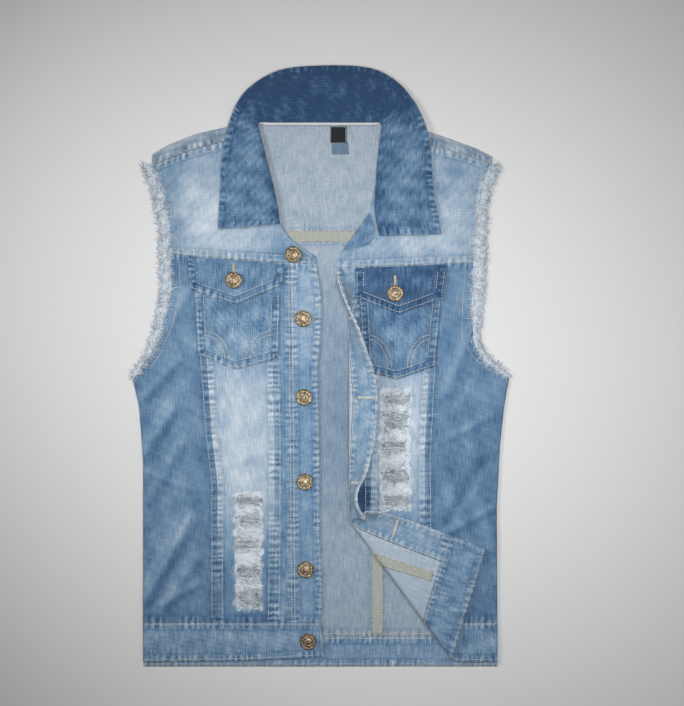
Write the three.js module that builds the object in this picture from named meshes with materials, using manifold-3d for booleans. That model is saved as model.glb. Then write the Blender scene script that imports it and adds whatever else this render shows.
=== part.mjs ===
// A sleeveless denim jacket laid on its back, collar towards +Y, in millimetres.
// The back lies flat on z = 0, the fronts lie on it, and the wearer's left front is turned back on itself.
import * as THREE from "three";
import { mergeVertices } from "three/addons/utils/BufferGeometryUtils.js";
import Module from "manifold-3d";

const wasm = await Module();
wasm.setup();

// Driving dimensions
const CLOTH = 1.5; // one layer of washed denim with its seam allowances
const DOUBLE = 2.2; // placket, waistband, pocket flap and collar, which are two layers
const SEAM_GAP = 0.3;
const PATCH = 1.3; // a pocket sewn on a front
const FRONT_REST = 2.2; // underside of the fronts where they lie on the back
const FRONT_LOFT = 2; // how far the middle of each front rises above that
const DOME = { side: 205, rise: 60, opening: 5, openingRise: 50, atOpening: 0.35, top: 115, bottom: -345 };
const HEM_Y = -355;
const WAISTBAND_TOP = -308;
const BACK_HEM_Y = -361;
const BACK_BAND_TOP = -325;
const BACK_YOKE_Y = 155;
const BACK_NECK_Y = 290;
const BACK_SEAM_X = 66;
const BAND_RIGHT = -215; // the waistband's ends at the side seams
const BAND_LEFT = 210;
const BUTTON_RADIUS = 10;
const BUTTON_HEIGHT = 5;
const FOLD = { x: 36.9, y: -182.2, slope: [0.592, -0.806], radius: 5.5 };

// Seams and edges: y down the garment, x where the line runs. "right" is the wearer's right, at -X.
const SIDE_RIGHT = [
  [131, -185], [92, -183], [52, -191], [14, -207], [-14, -228], [-49, -220], [-111, -215], [-355, -215],
];
const SIDE_LEFT = [
  [124, 184.5], [71, 181], [32, 180], [8, 195], [-14, 224], [-49, 218], [-95, 213], [-172, 209], [-355, 210],
];
const SEAM_A_RIGHT = [[131, -150], [7, -139], [-80, -133], [-141, -126], [-355, -126]];
const SEAM_B_RIGHT = [[131, -62], [-80, -57], [-202, -57], [-355, -59]];
const PLACKET_RIGHT = [[131, -38], [-355, -34]];
const EDGE_RIGHT = [
  [119, -7], [92, -2], [65, -1], [28, -3], [-3, -6], [-64, -4], [-202, -3], [-263, 0], [-308, -1], [-329, 2],
  [-355, 1],
];
const SEAM_A_LEFT = [[124, 128], [-9, 128], [-104, 123], [-355, 124]];
const SEAM_B_LEFT = [[124, 62], [-149, 58], [-355, 60]];
const EDGE_LEFT = [
  [117, 17], [97, 13], [79, 9], [55, 2], [25, -6], [-10, -11], [-40, -13], [-80, -11], [-140, -7], [-182, -2],
  [-233, 3], [-355, 11],
];
const PLACKET_WIDTH = 33;
const LEFT_ROWS = 26; // rows of every panel that the fold crosses, so that they meet at the seams
const ARMHOLE_RIGHT = [
  [239, -206], [215, -195], [167, -185], [128, -185], [92, -183], [52, -191], [14, -207], [-14, -228],
];
const ARMHOLE_LEFT = [
  [238, 203], [215, 191], [191, 187], [147, 185], [111, 184], [71, 181], [32, 180], [8, 195], [-14, 224],
];
const BACK_INSET = 2; // how far the back's armhole lies inside the front's
const NECK_RIGHT = [
  [117, -7], [131, -8], [138, -19], [145, -29], [156, -41], [170, -50], [194, -60], [219, -66], [251, -74],
  [283, -80],
];
const NECK_LEFT = [
  [117, 17], [131, 20], [139, 25], [155, 36], [172, 48], [188, 57], [207, 61], [236, 64], [267, 68], [283, 74],
];
// Seams across: x, then the y at that x.
const YOKE_SEAM_RIGHT = [[-190, 134], [-6, 121]];
const YOKE_SEAM_LEFT = [[17, 117], [185, 124]];
const SHOULDER_SEAM_RIGHT = [[-206, 239.5], [-154, 259], [-119, 268], [-80, 281]];
const SHOULDER_SEAM_LEFT = [[74, 281], [129, 263], [170, 253], [207, 239]];
const SHOULDER_FOLD_RIGHT = [[-210, 249], [-182, 265], [-151, 277], [-116, 285], [-77, 292]];
const SHOULDER_FOLD_LEFT = [[70, 293], [126, 280], [155, 270], [185, 259], [210, 246]];
const HEM_RIGHT = [[-215, -355], [-100, -354], [1, -349]];
// The two strips of the back yoke that go over the shoulders, between these x.
const SHOULDER_STRIPS = {
  right: { x0: -204, x1: -82 },
  left: { x0: 77, x1: 203 },
  underlap: 8, // mm of strip on the flat yoke, which it is one piece with
};

// The turned-back front: where its free edge lands beside the fold, and past the corner how far it turns.
const EDGE_LANDS = [
  [117, 17], [104, 17], [95, 20], [86, 23], [76, 27], [65, 32], [55, 37], [41, 43], [25, 49], [11, 54], [-1, 59],
  [-14, 62], [-27, 65], [-52, 66], [-79, 63], [-105, 58], [-129, 51], [-145, 41], [-153, 39], [-167, 40],
];
// mm along the fold, degrees
const TURN_PAST_CORNER = [[0, 130], [13, 155], [38, 175], [90, 182], [210, 184]];

// Soft ridges and troughs pressed into the fronts: from, to, half width, height.
const CREASES = [
  { x0: -181, y0: -54, x1: -212, y1: -105, width: 9, height: 1.2 },
  { x0: -160, y0: -185, x1: -211, y1: -281, width: 10, height: 1.3 },
  { x0: -186, y0: 60, x1: -150, y1: 20, width: 9, height: 1 },
  { x0: 176, y0: -78, x1: 206, y1: -215, width: 10, height: 1.2 },
  { x0: 178, y0: 40, x1: 150, y1: -30, width: 9, height: 1 },
  { x0: -100, y0: -20, x1: -92, y1: -150, width: 12, height: 0.8 },
];

// Collar sections from its right point round the neck to its left point: outer edge, then roll or neck seam.
const COLLAR = [
  { ox: -125, oy: 163, ix: -51, iy: 170, front: 1 },
  { ox: -123, oy: 200, ix: -54, iy: 194, front: 1 },
  { ox: -122, oy: 227, ix: -61, iy: 225, front: 1 },
  { ox: -120, oy: 251, ix: -68, iy: 251, front: 1 },
  { ox: -115, oy: 279, ix: -73, iy: 275, front: 0.8 },
  { ox: -108, oy: 303, ix: -77, iy: 286, front: 0.5 },
  { ox: -98, oy: 322, ix: -76, iy: 291, front: 0.2 },
  { ox: -82, oy: 338, ix: -70, iy: 291, front: 0 },
  { ox: -62, oy: 350, ix: -55, iy: 291, front: 0 },
  { ox: -40, oy: 357, ix: -37, iy: 291, front: 0 },
  { ox: -8, oy: 359, ix: -11, iy: 291, front: 0 },
  { ox: 32, oy: 359, ix: 27, iy: 291, front: 0 },
  { ox: 56, oy: 357, ix: 47, iy: 291, front: 0 },
  { ox: 76, oy: 349, ix: 60, iy: 291, front: 0 },
  { ox: 92, oy: 338, ix: 66, iy: 291, front: 0 },
  { ox: 106, oy: 322, ix: 69, iy: 290, front: 0.2 },
  { ox: 118, oy: 303, ix: 70, iy: 286, front: 0.5 },
  { ox: 125, oy: 283, ix: 69, iy: 275, front: 0.8 },
  { ox: 130, oy: 259, ix: 67, iy: 257, front: 1 },
  { ox: 131, oy: 227, ix: 65, iy: 232, front: 1 },
  { ox: 134, oy: 200, ix: 63, iy: 207, front: 1 },
  { ox: 139, oy: 176, ix: 62, iy: 185, front: 1 },
  { ox: 142, oy: 157, ix: 68, iy: 155, front: 1 },
];
// Across the collar: mm and share of the leaf's width out from the roll, and the height, lying on a front; then mm
// out and height at the back of the neck.
const COLLAR_SECTION = [
  { out: 12, share: 0, z: 5.4, backOut: 0, backZ: 4.9 },
  { out: 4, share: 0, z: 5.6, backOut: 1.5, backZ: 5 },
  { out: 0, share: 0, z: 8.4, backOut: 4, backZ: 5.4 },
  { out: 4, share: 0, z: 11, backOut: 9, backZ: 6.2 },
  { out: 0, share: 0.35, z: 11.3, backOut: 22, backZ: 7.6 },
  { out: 0, share: 0.7, z: 9.8, backOut: 44, backZ: 7.6 },
  { out: 0, share: 1, z: 7.6, backOut: 66, backZ: 5.4 },
];

const FRONT_BUTTONS = [
  { x: -35, y: 133 }, { x: -23, y: 56 }, { x: -22, y: -38 }, { x: -21, y: -139 }, { x: -20, y: -244 },
  { x: -17, y: -330 },
];
// Each pocket's sides and pointed foot, the same for its flap, and its button.
const POCKETS = {
  right: {
    left: [[-6, -149], [13, -149], [110, -153]],
    right: [[-6, -53], [9, -53], [110, -50]],
    low: [[-149, 13], [-104, -5], [-53, 9]],
    flapLeft: [[80, -157], [125, -161]],
    flapRight: [[80, -48], [125, -47]],
    flapLow: [[-157, 91], [-104, 73], [-48, 97]],
    button: { x: -106, y: 102 },
  },
  left: {
    left: [[-6, 48], [110, 43]],
    right: [[-1, 134], [77, 142], [110, 143]],
    low: [[48, -6], [89, -17], [134, -1]],
    flapLeft: [[60, 39.5], [125, 39.5]],
    flapRight: [[60, 142], [125, 149]],
    flapLow: [[39, 82], [91, 61], [143, 80]],
    button: { x: 87, y: 86 },
  },
};
const POCKET_LIFT = DOUBLE + SEAM_GAP; // clear of the double placket's edge
const FLAP_LIFT = POCKET_LIFT + PATCH + SEAM_GAP;
const FLAP = 2; // a pocket flap, pressed thinner than the placket
const POCKET_TOP = 108;
// Torn windows across each ripped panel, top and bottom of each row.
const RIPS = {
  right: { x0: -103, x1: -74, rows: [[-158, -166], [-181, -190], [-209, -220], [-242, -254], [-271, -287]] },
  left: { x0: 71, x1: 103, rows: [[-35, -46], [-57, -75], [-91, -106], [-124, -140], [-155, -168]] },
};
const WEFT = 0.8; // thread left behind a torn window
const WEFT_MARGIN = 5; // how far it goes on under the sound cloth
// Rows of a side panel.
const ARMHOLE_ROWS = [-308, -260, -210, -160, -111, -80, -49, -31, -14, 0, 14, 33, 52, 72, 92, 112];
const FRAY_LOCKS = 44; // locks of loose thread round each armhole
const FRAY_LENGTH = [[239, 15], [200, 18], [150, 19], [100, 20], [56, 15], [20, 10], [-12, 6]];
const FRAY_STRIP = { gap: 1.1, width: 3, thickness: 1.6, root: 2.8 }; // root: where the locks start, mm out
const LABEL_THICKNESS = 0.8;
const LABELS = {
  neck_label: { x0: 9, x1: 29, y0: 267.3, y1: 287 },
  care_label: { x0: 11, x1: 31, y0: 253, y1: 267 },
};
// The end of the neck facing: its roll and its free edge, share along it, then x and y.
const FACING_ROLL = [[0, 56, 182], [1, 25, 139.5]];
const FACING_EDGE = [[0, 61, 168], [0.3, 65, 152], [0.55, 59, 144], [0.8, 44, 140.5], [1, 27, 137.5]];

const denim = (color) => new THREE.MeshStandardMaterial({ color, roughness: 0.9, metalness: 0 });
const MID_BLUE = denim(0x73919e);
const SIDE_BLUE = denim(0x6485a2);
const PALE_BLUE = denim(0xa5b9c9);
const DARK_BLUE = denim(0x2d4668);
const INSIDE = denim(0xa2b4c4);
const THREAD = denim(0xc7cfd7);
const LABEL = denim(0x22252c);
const BRASS = new THREE.MeshStandardMaterial({ color: 0x9c8d75, roughness: 0.35, metalness: 0.9 });

const model = new THREE.Group();
const mix = (a, b, t) => a + (b - a) * t;
const clamp = (t) => Math.min(1, Math.max(0, t));
const smooth = (t) => clamp(t) ** 2 * (3 - 2 * clamp(t));

// Reads a table of [at, value] rows, given in either order, with straight lines between them.
function read(table, at) {
  const rows = table[0][0] < table.at(-1)[0] ? table : [...table].reverse();
  let i = 1;
  while (i < rows.length - 1 && at > rows[i][0]) i += 1;
  const [[a, va], [b, vb]] = [rows[i - 1], rows[i]];
  return mix(va, vb, clamp((at - a) / (b - a)));
}

function addMesh(name, geometry, material) {
  const mesh = new THREE.Mesh(geometry, material);
  mesh.name = name;
  model.add(mesh);
}

function toSolid(geometry) {
  const plain = geometry.index ? geometry.toNonIndexed() : geometry.clone();
  const bare = new THREE.BufferGeometry().setAttribute("position", plain.getAttribute("position"));
  const merged = mergeVertices(bare, 1e-4);
  const vertProperties = merged.attributes.position.array;
  const triVerts = new Uint32Array(merged.index.array);
  return new wasm.Manifold(new wasm.Mesh({ numProp: 3, vertProperties, triVerts }));
}

function toGeometry(solid) {
  const { vertProperties, triVerts } = solid.getMesh();
  return new THREE.BufferGeometry()
    .setAttribute("position", new THREE.BufferAttribute(new Float32Array(vertProperties), 3))
    .setIndex(new THREE.BufferAttribute(new Uint32Array(triVerts), 1));
}

// A closed wall on a grid: point(u, v, h) gives the place at height h through the cloth, from 0 to thickness.
function wall(columns, rows, thickness, point) {
  const positions = [];
  const index = [];
  const across = columns + 1;
  const layer = across * (rows + 1);
  for (const h of [0, thickness])
    for (let j = 0; j <= rows; j += 1)
      for (let i = 0; i <= columns; i += 1) positions.push(...point(i / columns, j / rows, h));
  const quad = (a, b, c, d) => index.push(a, b, c, a, c, d);
  for (let j = 0; j < rows; j += 1)
    for (let i = 0; i < columns; i += 1) {
      const a = j * across + i;
      quad(a, a + across, a + across + 1, a + 1);
      quad(a + layer, a + layer + 1, a + layer + across + 1, a + layer + across);
    }
  const rim = [];
  for (let i = 0; i < columns; i += 1) rim.push(i);
  for (let j = 0; j < rows; j += 1) rim.push(j * across + columns);
  for (let i = columns; i > 0; i -= 1) rim.push(rows * across + i);
  for (let j = rows; j > 0; j -= 1) rim.push(j * across);
  rim.forEach((a, k) => {
    const b = rim[(k + 1) % rim.length];
    quad(a, b, b + layer, a + layer);
  });
  return new THREE.BufferGeometry()
    .setAttribute("position", new THREE.BufferAttribute(new Float32Array(positions), 3))
    .setIndex(index);
}

// Height of the fronts' underside: flat at the seams and the shoulders, risen in the middle, with pressed creases.
// It rises over 60 mm from the side seams, the yoke and the hem, and sinks again beside the opening.
function frontUnder(x, y) {
  const side = smooth((DOME.side - Math.abs(x)) / DOME.rise);
  const inward = smooth((Math.abs(x) - DOME.opening) / DOME.openingRise);
  const down = smooth((DOME.top - y) / DOME.rise) * smooth((y - DOME.bottom) / DOME.rise);
  let z = FRONT_REST + FRONT_LOFT * side * mix(DOME.atOpening, 1, inward) * down;
  for (const c of CREASES) {
    const [dx, dy] = [c.x1 - c.x0, c.y1 - c.y0];
    const t = ((x - c.x0) * dx + (y - c.y0) * dy) / (dx * dx + dy * dy);
    const off = Math.hypot(x - c.x0 - clamp(t) * dx, y - c.y0 - clamp(t) * dy);
    z += c.height * Math.exp(-((off / c.width) ** 2));
  }
  return z;
}

// Of a point of the flat left front: w, how far it lies behind the fold line, the fold's nearest point (cx, cy),
// the way out from it (nx, ny), and the turn there.
function foldAt(x, y) {
  const [dx, dy] = FOLD.slope;
  const [px, py] = [x - FOLD.x, y - FOLD.y];
  const along = px * dx + py * dy;
  const behind = px * dy - py * dx;
  if (py >= 0) return { w: -px, cx: FOLD.x, cy: y, nx: -1, ny: 0, turn: turnAbove(y) };
  if (along >= 0 || behind <= 0) {
    const [cx, cy] = [FOLD.x + along * dx, FOLD.y + along * dy];
    return { w: behind, cx, cy, nx: dy, ny: -dx, turn: turnPast(along) };
  }
  const w = Math.hypot(px, py);
  return { w, cx: FOLD.x, cy: FOLD.y, nx: px / w, ny: py / w, turn: turnPast(0) };
}

const turnPast = (along) => (read(TURN_PAST_CORNER, along) * Math.PI) / 180;

// How far out and up a point w behind the fold lies once turned: round the radius first, then straight.
function rolled(w, turn) {
  const r = FOLD.radius;
  const angle = Math.min(turn, w / r);
  const rest = Math.max(0, w - r * turn);
  return {
    out: r * Math.sin(angle) + rest * Math.cos(turn),
    up: r * (1 - Math.cos(angle)) + rest * Math.sin(turn),
    angle,
  };
}

// The turn at which the free edge lands where it is seen, found by halving.
const turnTable = EDGE_LANDS.map(([y, lands]) => {
  let [low, high] = [0, Math.PI];
  const w = FOLD.x - read(EDGE_LEFT, y);
  for (let k = 0; k < 30; k += 1) {
    const middle = (low + high) / 2;
    if (FOLD.x - rolled(w, middle).out < lands) low = middle;
    else high = middle;
  }
  return [y, low];
});
turnTable.push([FOLD.y, turnPast(0)]);
function turnAbove(y) {
  return y > EDGE_LANDS[0][0] ? 0 : read(turnTable, y);
}

// A point h above the underside of the left front, after the turn.
function leftPoint(x, y, h) {
  const f = foldAt(x, y);
  if (f.w <= 0) return [x, y, frontUnder(x, y) + h];
  const { out, up, angle } = rolled(f.w, f.turn);
  const base = frontUnder(f.cx, f.cy);
  const flat = out - h * Math.sin(angle);
  return [f.cx + f.nx * flat, f.cy + f.ny * flat, base + up + h * Math.cos(angle)];
}
const rightPoint = (x, y, h) => [x, y, frontUnder(x, y) + h];

// Grid columns of a row: even, but closer together where the fold's bend passes.
function spread(xl, xr, y, columns) {
  const steps = 160;
  const margin = 3; // mm of flat cloth on each side that count as bend
  const closer = 5; // how much closer together they are there
  const total = [0];
  for (let k = 0; k < steps; k += 1) {
    const f = foldAt(mix(xl, xr, (k + 0.5) / steps), y);
    const bend = FOLD.radius * f.turn;
    const bent = f.w > -margin && f.w < bend + margin;
    total.push(total.at(-1) + (bent ? closer : 1));
  }
  return (u) => {
    const want = u * total.at(-1);
    let k = 1;
    while (k < steps && total[k] < want) k += 1;
    const share = (want - total[k - 1]) / (total[k] - total[k - 1]);
    return mix(xl, xr, (k - 1 + share) / steps);
  };
}

// A cut panel between four edges, each a function; its neighbours are SEAM_GAP away. levels, shares of its height,
// stand for even rows; bends puts columns closer together at the fold; lift raises it off the fronts' underside.
function panel(spec) {
  const { left, right, low, high, columns, rows, levels, bends } = spec;
  const { thickness = CLOTH, lift = 0, place = rightPoint } = spec;
  const half = SEAM_GAP / 2;
  return wall(columns, levels ? levels.length - 1 : rows, thickness, (u, t, h) => {
    const v = levels ? levels[Math.round(t * (levels.length - 1))] : t;
    let y = mix(low(0), high(0), v);
    let x = 0;
    for (let k = 0; k < 8; k += 1) {
      const [xl, xr] = [left(y) + half, right(y) - half];
      x = bends ? spread(xl, xr, y, columns)(u) : mix(xl, xr, u);
      y = mix(low(x) + half, high(x) - half, v);
    }
    return place(x, y, h + lift);
  });
}
const line = (table) => (at) => read(table, at);
const level = (value) => () => value;
// Rows of a side panel as shares of its height, on the corners of its armhole.
const sideLevels = (top) => [...ARMHOLE_ROWS, top].map((y) => (y - WAISTBAND_TOP) / (top - WAISTBAND_TOP));

// Back of the garment, flat on the floor; its inside shows through the neck and the open front.
const backPoint = (x, y, h) => [x, y, h];
const inset = (table, by) => (y) => read(table, y) - Math.sign(table[0][1]) * by;
function buildBack() {
  const armRight = inset([...ARMHOLE_RIGHT, ...SIDE_RIGHT.slice(5)], BACK_INSET);
  const armLeft = inset([...ARMHOLE_LEFT, ...SIDE_LEFT.slice(5)], BACK_INSET);
  const back = (name, left, right, low, high, columns, rows) =>
    addMesh(name, panel({ left, right, low, high, columns, rows, place: backPoint }), INSIDE);
  const seamLow = level(BACK_BAND_TOP);
  const seamHigh = level(BACK_YOKE_Y);
  back("back_panel_centre", level(-BACK_SEAM_X), level(BACK_SEAM_X), seamLow, seamHigh, 4, 8);
  back("back_side_right", armRight, level(-BACK_SEAM_X), seamLow, seamHigh, 3, 16);
  back("back_side_left", level(BACK_SEAM_X), armLeft, seamLow, seamHigh, 3, 16);
  back("waistband_back", level(BAND_RIGHT), level(BAND_LEFT), level(BACK_HEM_Y), seamLow, 8, 2);

  // The yoke goes over the shoulders and 11 mm down the fronts, so its flat part is joined to two folded strips.
  const top = [...SHOULDER_FOLD_RIGHT, [-70, BACK_NECK_Y], [66, BACK_NECK_Y], ...SHOULDER_FOLD_LEFT];
  const flat = panel({
    left: armRight, right: armLeft, low: seamHigh, high: (x) => read(top, x) - 1.2,
    columns: 16, rows: 2, place: backPoint,
  });
  const radius = FRONT_REST / 2;
  const [flatShare, frontShare] = [0.2, 0.8]; // of a strip's rows, where the bend starts and ends
  const over = (fold, seam, { x0, x1 }) => wall(6, 10, CLOTH, (u, v, h) => {
    const x = mix(x0, x1, u);
    const foldY = read(fold, x) - radius;
    const off = h - CLOTH / 2;
    if (v < flatShare) return [x, foldY - SHOULDER_STRIPS.underlap * (1 - v / flatShare), h];
    const angle = clamp((v - flatShare) / (frontShare - flatShare)) * Math.PI;
    const onFront = Math.max(0, (v - frontShare) / (1 - frontShare));
    const down = onFront * (foldY - read(seam, x) - 3 * SEAM_GAP);
    const reach = radius - off;
    return [x, foldY + reach * Math.sin(angle) - down, radius + CLOTH / 2 - reach * Math.cos(angle)];
  });
  const right = over(SHOULDER_FOLD_RIGHT, SHOULDER_SEAM_RIGHT, SHOULDER_STRIPS.right);
  const left = over(SHOULDER_FOLD_LEFT, SHOULDER_SEAM_LEFT, SHOULDER_STRIPS.left);
  addMesh("back_yoke", toGeometry(toSolid(flat).add(toSolid(right)).add(toSolid(left))), INSIDE);
}

// Wearer's right front, with the buttons.
function buildRightFront() {
  const yokeSeam = line(YOKE_SEAM_RIGHT);
  const bandTop = level(WAISTBAND_TOP);
  addMesh("front_yoke_right", panel({
    left: line(ARMHOLE_RIGHT), right: line(NECK_RIGHT), low: yokeSeam, high: line(SHOULDER_SEAM_RIGHT),
    columns: 8, rows: 8,
  }), PALE_BLUE);
  const strip = (left, right, columns, more) =>
    panel({ left: line(left), right: line(right), low: bandTop, high: yokeSeam, columns, rows: 16, ...more });
  const levels = sideLevels(YOKE_SEAM_RIGHT[0][1]);
  addMesh("front_side_right", strip(SIDE_RIGHT, SEAM_A_RIGHT, 4, { levels }), SIDE_BLUE);
  addMesh("front_panel_right", tear(strip(SEAM_A_RIGHT, SEAM_B_RIGHT, 4), RIPS.right), PALE_BLUE);
  addMesh("front_inset_right", strip(SEAM_B_RIGHT, PLACKET_RIGHT, 1), MID_BLUE);
  addMesh("placket_right", strip(PLACKET_RIGHT, EDGE_RIGHT, 2, { thickness: DOUBLE }), MID_BLUE);
  addMesh("waistband_right", panel({
    left: level(BAND_RIGHT), right: line(EDGE_RIGHT), low: line(HEM_RIGHT), high: bandTop,
    columns: 8, rows: 2, thickness: DOUBLE,
  }), MID_BLUE);
}

// Wearer's left front, turned back on itself from the chest down so that its inside shows.
function buildLeftFront() {
  const yokeSeam = line(YOKE_SEAM_LEFT);
  const bandTop = level(WAISTBAND_TOP);
  const placketSeam = (y) => read(EDGE_LEFT, y) + PLACKET_WIDTH;
  const common = { low: bandTop, high: yokeSeam, place: leftPoint, bends: true };
  addMesh("front_yoke_left", panel({
    left: line(NECK_LEFT), right: line(ARMHOLE_LEFT), low: yokeSeam, high: line(SHOULDER_SEAM_LEFT),
    columns: 8, rows: 8,
  }), PALE_BLUE);
  addMesh("front_side_left", panel({
    ...common, left: line(SEAM_A_LEFT), right: line(SIDE_LEFT), columns: 4, bends: false,
    levels: sideLevels(YOKE_SEAM_LEFT[1][1]),
  }), SIDE_BLUE);
  const centre = panel({
    ...common, left: line(SEAM_B_LEFT), right: line(SEAM_A_LEFT), columns: 10, rows: LEFT_ROWS,
  });
  addMesh("front_panel_left", tear(centre, RIPS.left), PALE_BLUE);
  addMesh("front_inset_left", panel({
    ...common, left: (y) => placketSeam(y) + SEAM_GAP, right: line(SEAM_B_LEFT), columns: 6, rows: LEFT_ROWS,
  }), MID_BLUE);
  addMesh("placket_left", panel({
    ...common, left: line(EDGE_LEFT), right: placketSeam, columns: 6, rows: LEFT_ROWS, thickness: DOUBLE,
  }), MID_BLUE);
  addMesh("waistband_left", panel({
    left: line(EDGE_LEFT), right: level(BAND_LEFT), low: level(HEM_Y), high: bandTop,
    columns: 20, rows: 3, thickness: DOUBLE, place: leftPoint, bends: true,
  }), MID_BLUE);
  // The end of the neck facing rolls out over the yoke, below the collar, in a low arch.
  const [rest, arch] = [CLOTH + 0.4, 1.2];
  const pick = (rows, column, at) => read(rows.map((r) => [r[0], r[column]]), at);
  addMesh("neck_facing_left", wall(4, 8, CLOTH, (u, v, h) => {
    const x = mix(pick(FACING_ROLL, 1, 1 - v), pick(FACING_EDGE, 1, 1 - v), u);
    const y = mix(pick(FACING_ROLL, 2, 1 - v), pick(FACING_EDGE, 2, 1 - v), u);
    return [x, y, frontUnder(x, y) + rest + arch * Math.sin(Math.PI * u) + h];
  }), MID_BLUE);
}

// Cuts the torn windows of a ripped panel: uneven six-cornered holes right through it. The sines leave each row's
// ends at their own places.
function tear(geometry, rip) {
  const [above, uneven] = [12, 2]; // mm
  let solid = toSolid(geometry);
  rip.rows.forEach(([top, bottom], k) => {
    const left = rip.x0 + uneven * Math.sin(k * 2.1);
    const right = rip.x1 + uneven * Math.cos(k * 1.7);
    const middle = (top + bottom) / 2;
    const corners = [
      [left, middle], [left + 5, bottom], [right - 4, bottom + 1], [right, middle], [right - 6, top],
      [left + 4, top - 1],
    ];
    const shape = new THREE.Shape(corners.map(([x, y]) => new THREE.Vector2(x, y)));
    const cutter = new THREE.ExtrudeGeometry(shape, { depth: above, bevelEnabled: false });
    solid = solid.subtract(toSolid(cutter));
  });
  return toGeometry(solid);
}

// White weft left in the torn windows: one thin patch that lies close under each ripped panel.
function buildWeft(side, rip) {
  const top = rip.rows[0][0] + WEFT_MARGIN + 1;
  const bottom = rip.rows.at(-1)[1] - WEFT_MARGIN - 1;
  const patch = wall(3, 14, WEFT, (u, v, h) => {
    const x = mix(rip.x0 - WEFT_MARGIN, rip.x1 + WEFT_MARGIN, u);
    const y = mix(bottom, top, v);
    return [x, y, frontUnder(x, y) - WEFT - SEAM_GAP + h];
  });
  addMesh("rip_weft_" + side, patch, THREAD);
}

// Pocket, flap and button on a front, each laid on what is under it.
function buildPocket(side, spec) {
  const yokeSeam = side === "right" ? YOKE_SEAM_RIGHT : YOKE_SEAM_LEFT;
  const underYoke = 1.5; // mm between the flap's top and the yoke seam
  addMesh("pocket_" + side, panel({
    left: line(spec.left), right: line(spec.right), low: line(spec.low), high: level(POCKET_TOP),
    columns: 6, rows: 6, thickness: PATCH, lift: POCKET_LIFT,
  }), MID_BLUE);
  addMesh("pocket_flap_" + side, panel({
    left: line(spec.flapLeft), right: line(spec.flapRight), low: line(spec.flapLow),
    high: (x) => read(yokeSeam, x) - underYoke, columns: 8, rows: 4, thickness: FLAP, lift: FLAP_LIFT,
  }), side === "right" ? MID_BLUE : DARK_BLUE);
  addButton("button_pocket_" + side, spec.button.x, spec.button.y, FLAP_LIFT + DOUBLE);
}

// A shank button: a short post under a dished disc with a raised rim and a domed middle. It stands on the highest
// point of the cloth round its post.
function addButton(name, x, y, lift) {
  const r = BUTTON_RADIUS;
  const post = 0.4 * r;
  const under = [1.6, 1.8, 3]; // heights of the post, of the disc's underside and of its widest ring
  const profile = [
    [0, 0], [post, 0], [post, under[0]], [0.92 * r, under[1]], [r, under[2]], [0.9 * r, BUTTON_HEIGHT - 0.6],
    [0.72 * r, BUTTON_HEIGHT - 1], [0.5 * r, BUTTON_HEIGHT - 0.4], [0, BUTTON_HEIGHT],
  ];
  const lathe = new THREE.LatheGeometry(profile.map(([a, b]) => new THREE.Vector2(a, b)), 18);
  const mesh = new THREE.Mesh(toGeometry(toSolid(lathe.rotateX(Math.PI / 2))), BRASS);
  const round = Array.from({ length: 12 }, (_, k) => (k * Math.PI) / 6);
  const reach = post + 0.5;
  const seat = Math.max(...round.map((a) => frontUnder(x + reach * Math.cos(a), y + reach * Math.sin(a))));
  mesh.position.set(x, y, seat + lift + SEAM_GAP);
  mesh.name = name;
  model.add(mesh);
}

// The collar: one wall carried round the neck on the sections above.
function buildCollar() {
  const stations = COLLAR.length - 1;
  const points = COLLAR_SECTION.length - 1;
  const middle = (j, i) => {
    const s = COLLAR[j];
    const c = COLLAR_SECTION[i];
    const length = Math.hypot(s.ox - s.ix, s.oy - s.iy);
    const [ex, ey] = [(s.ox - s.ix) / length, (s.oy - s.iy) / length];
    const onFront = c.out + c.share * length;
    const atBack = (c.backOut / COLLAR_SECTION.at(-1).backOut) * length;
    const out = mix(atBack, onFront, s.front);
    return { x: s.ix + ex * out, y: s.iy + ey * out, z: mix(c.backZ, c.z, s.front), ex, ey, out };
  };
  const geometry = wall(points, stations, DOUBLE, (u, v, h) => {
    const [i, j] = [Math.round(u * points), Math.round((1 - v) * stations)];
    const m = middle(j, i);
    const before = middle(j, Math.max(0, i - 1));
    const after = middle(j, Math.min(points, i + 1));
    const [run, rise] = [after.out - before.out, after.z - before.z];
    const length = Math.hypot(run, rise);
    const off = h - DOUBLE / 2;
    return [m.x - (m.ex * rise * off) / length, m.y - (m.ey * rise * off) / length, m.z + (run * off) / length];
  });
  addMesh("collar", geometry, DARK_BLUE);
}

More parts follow.
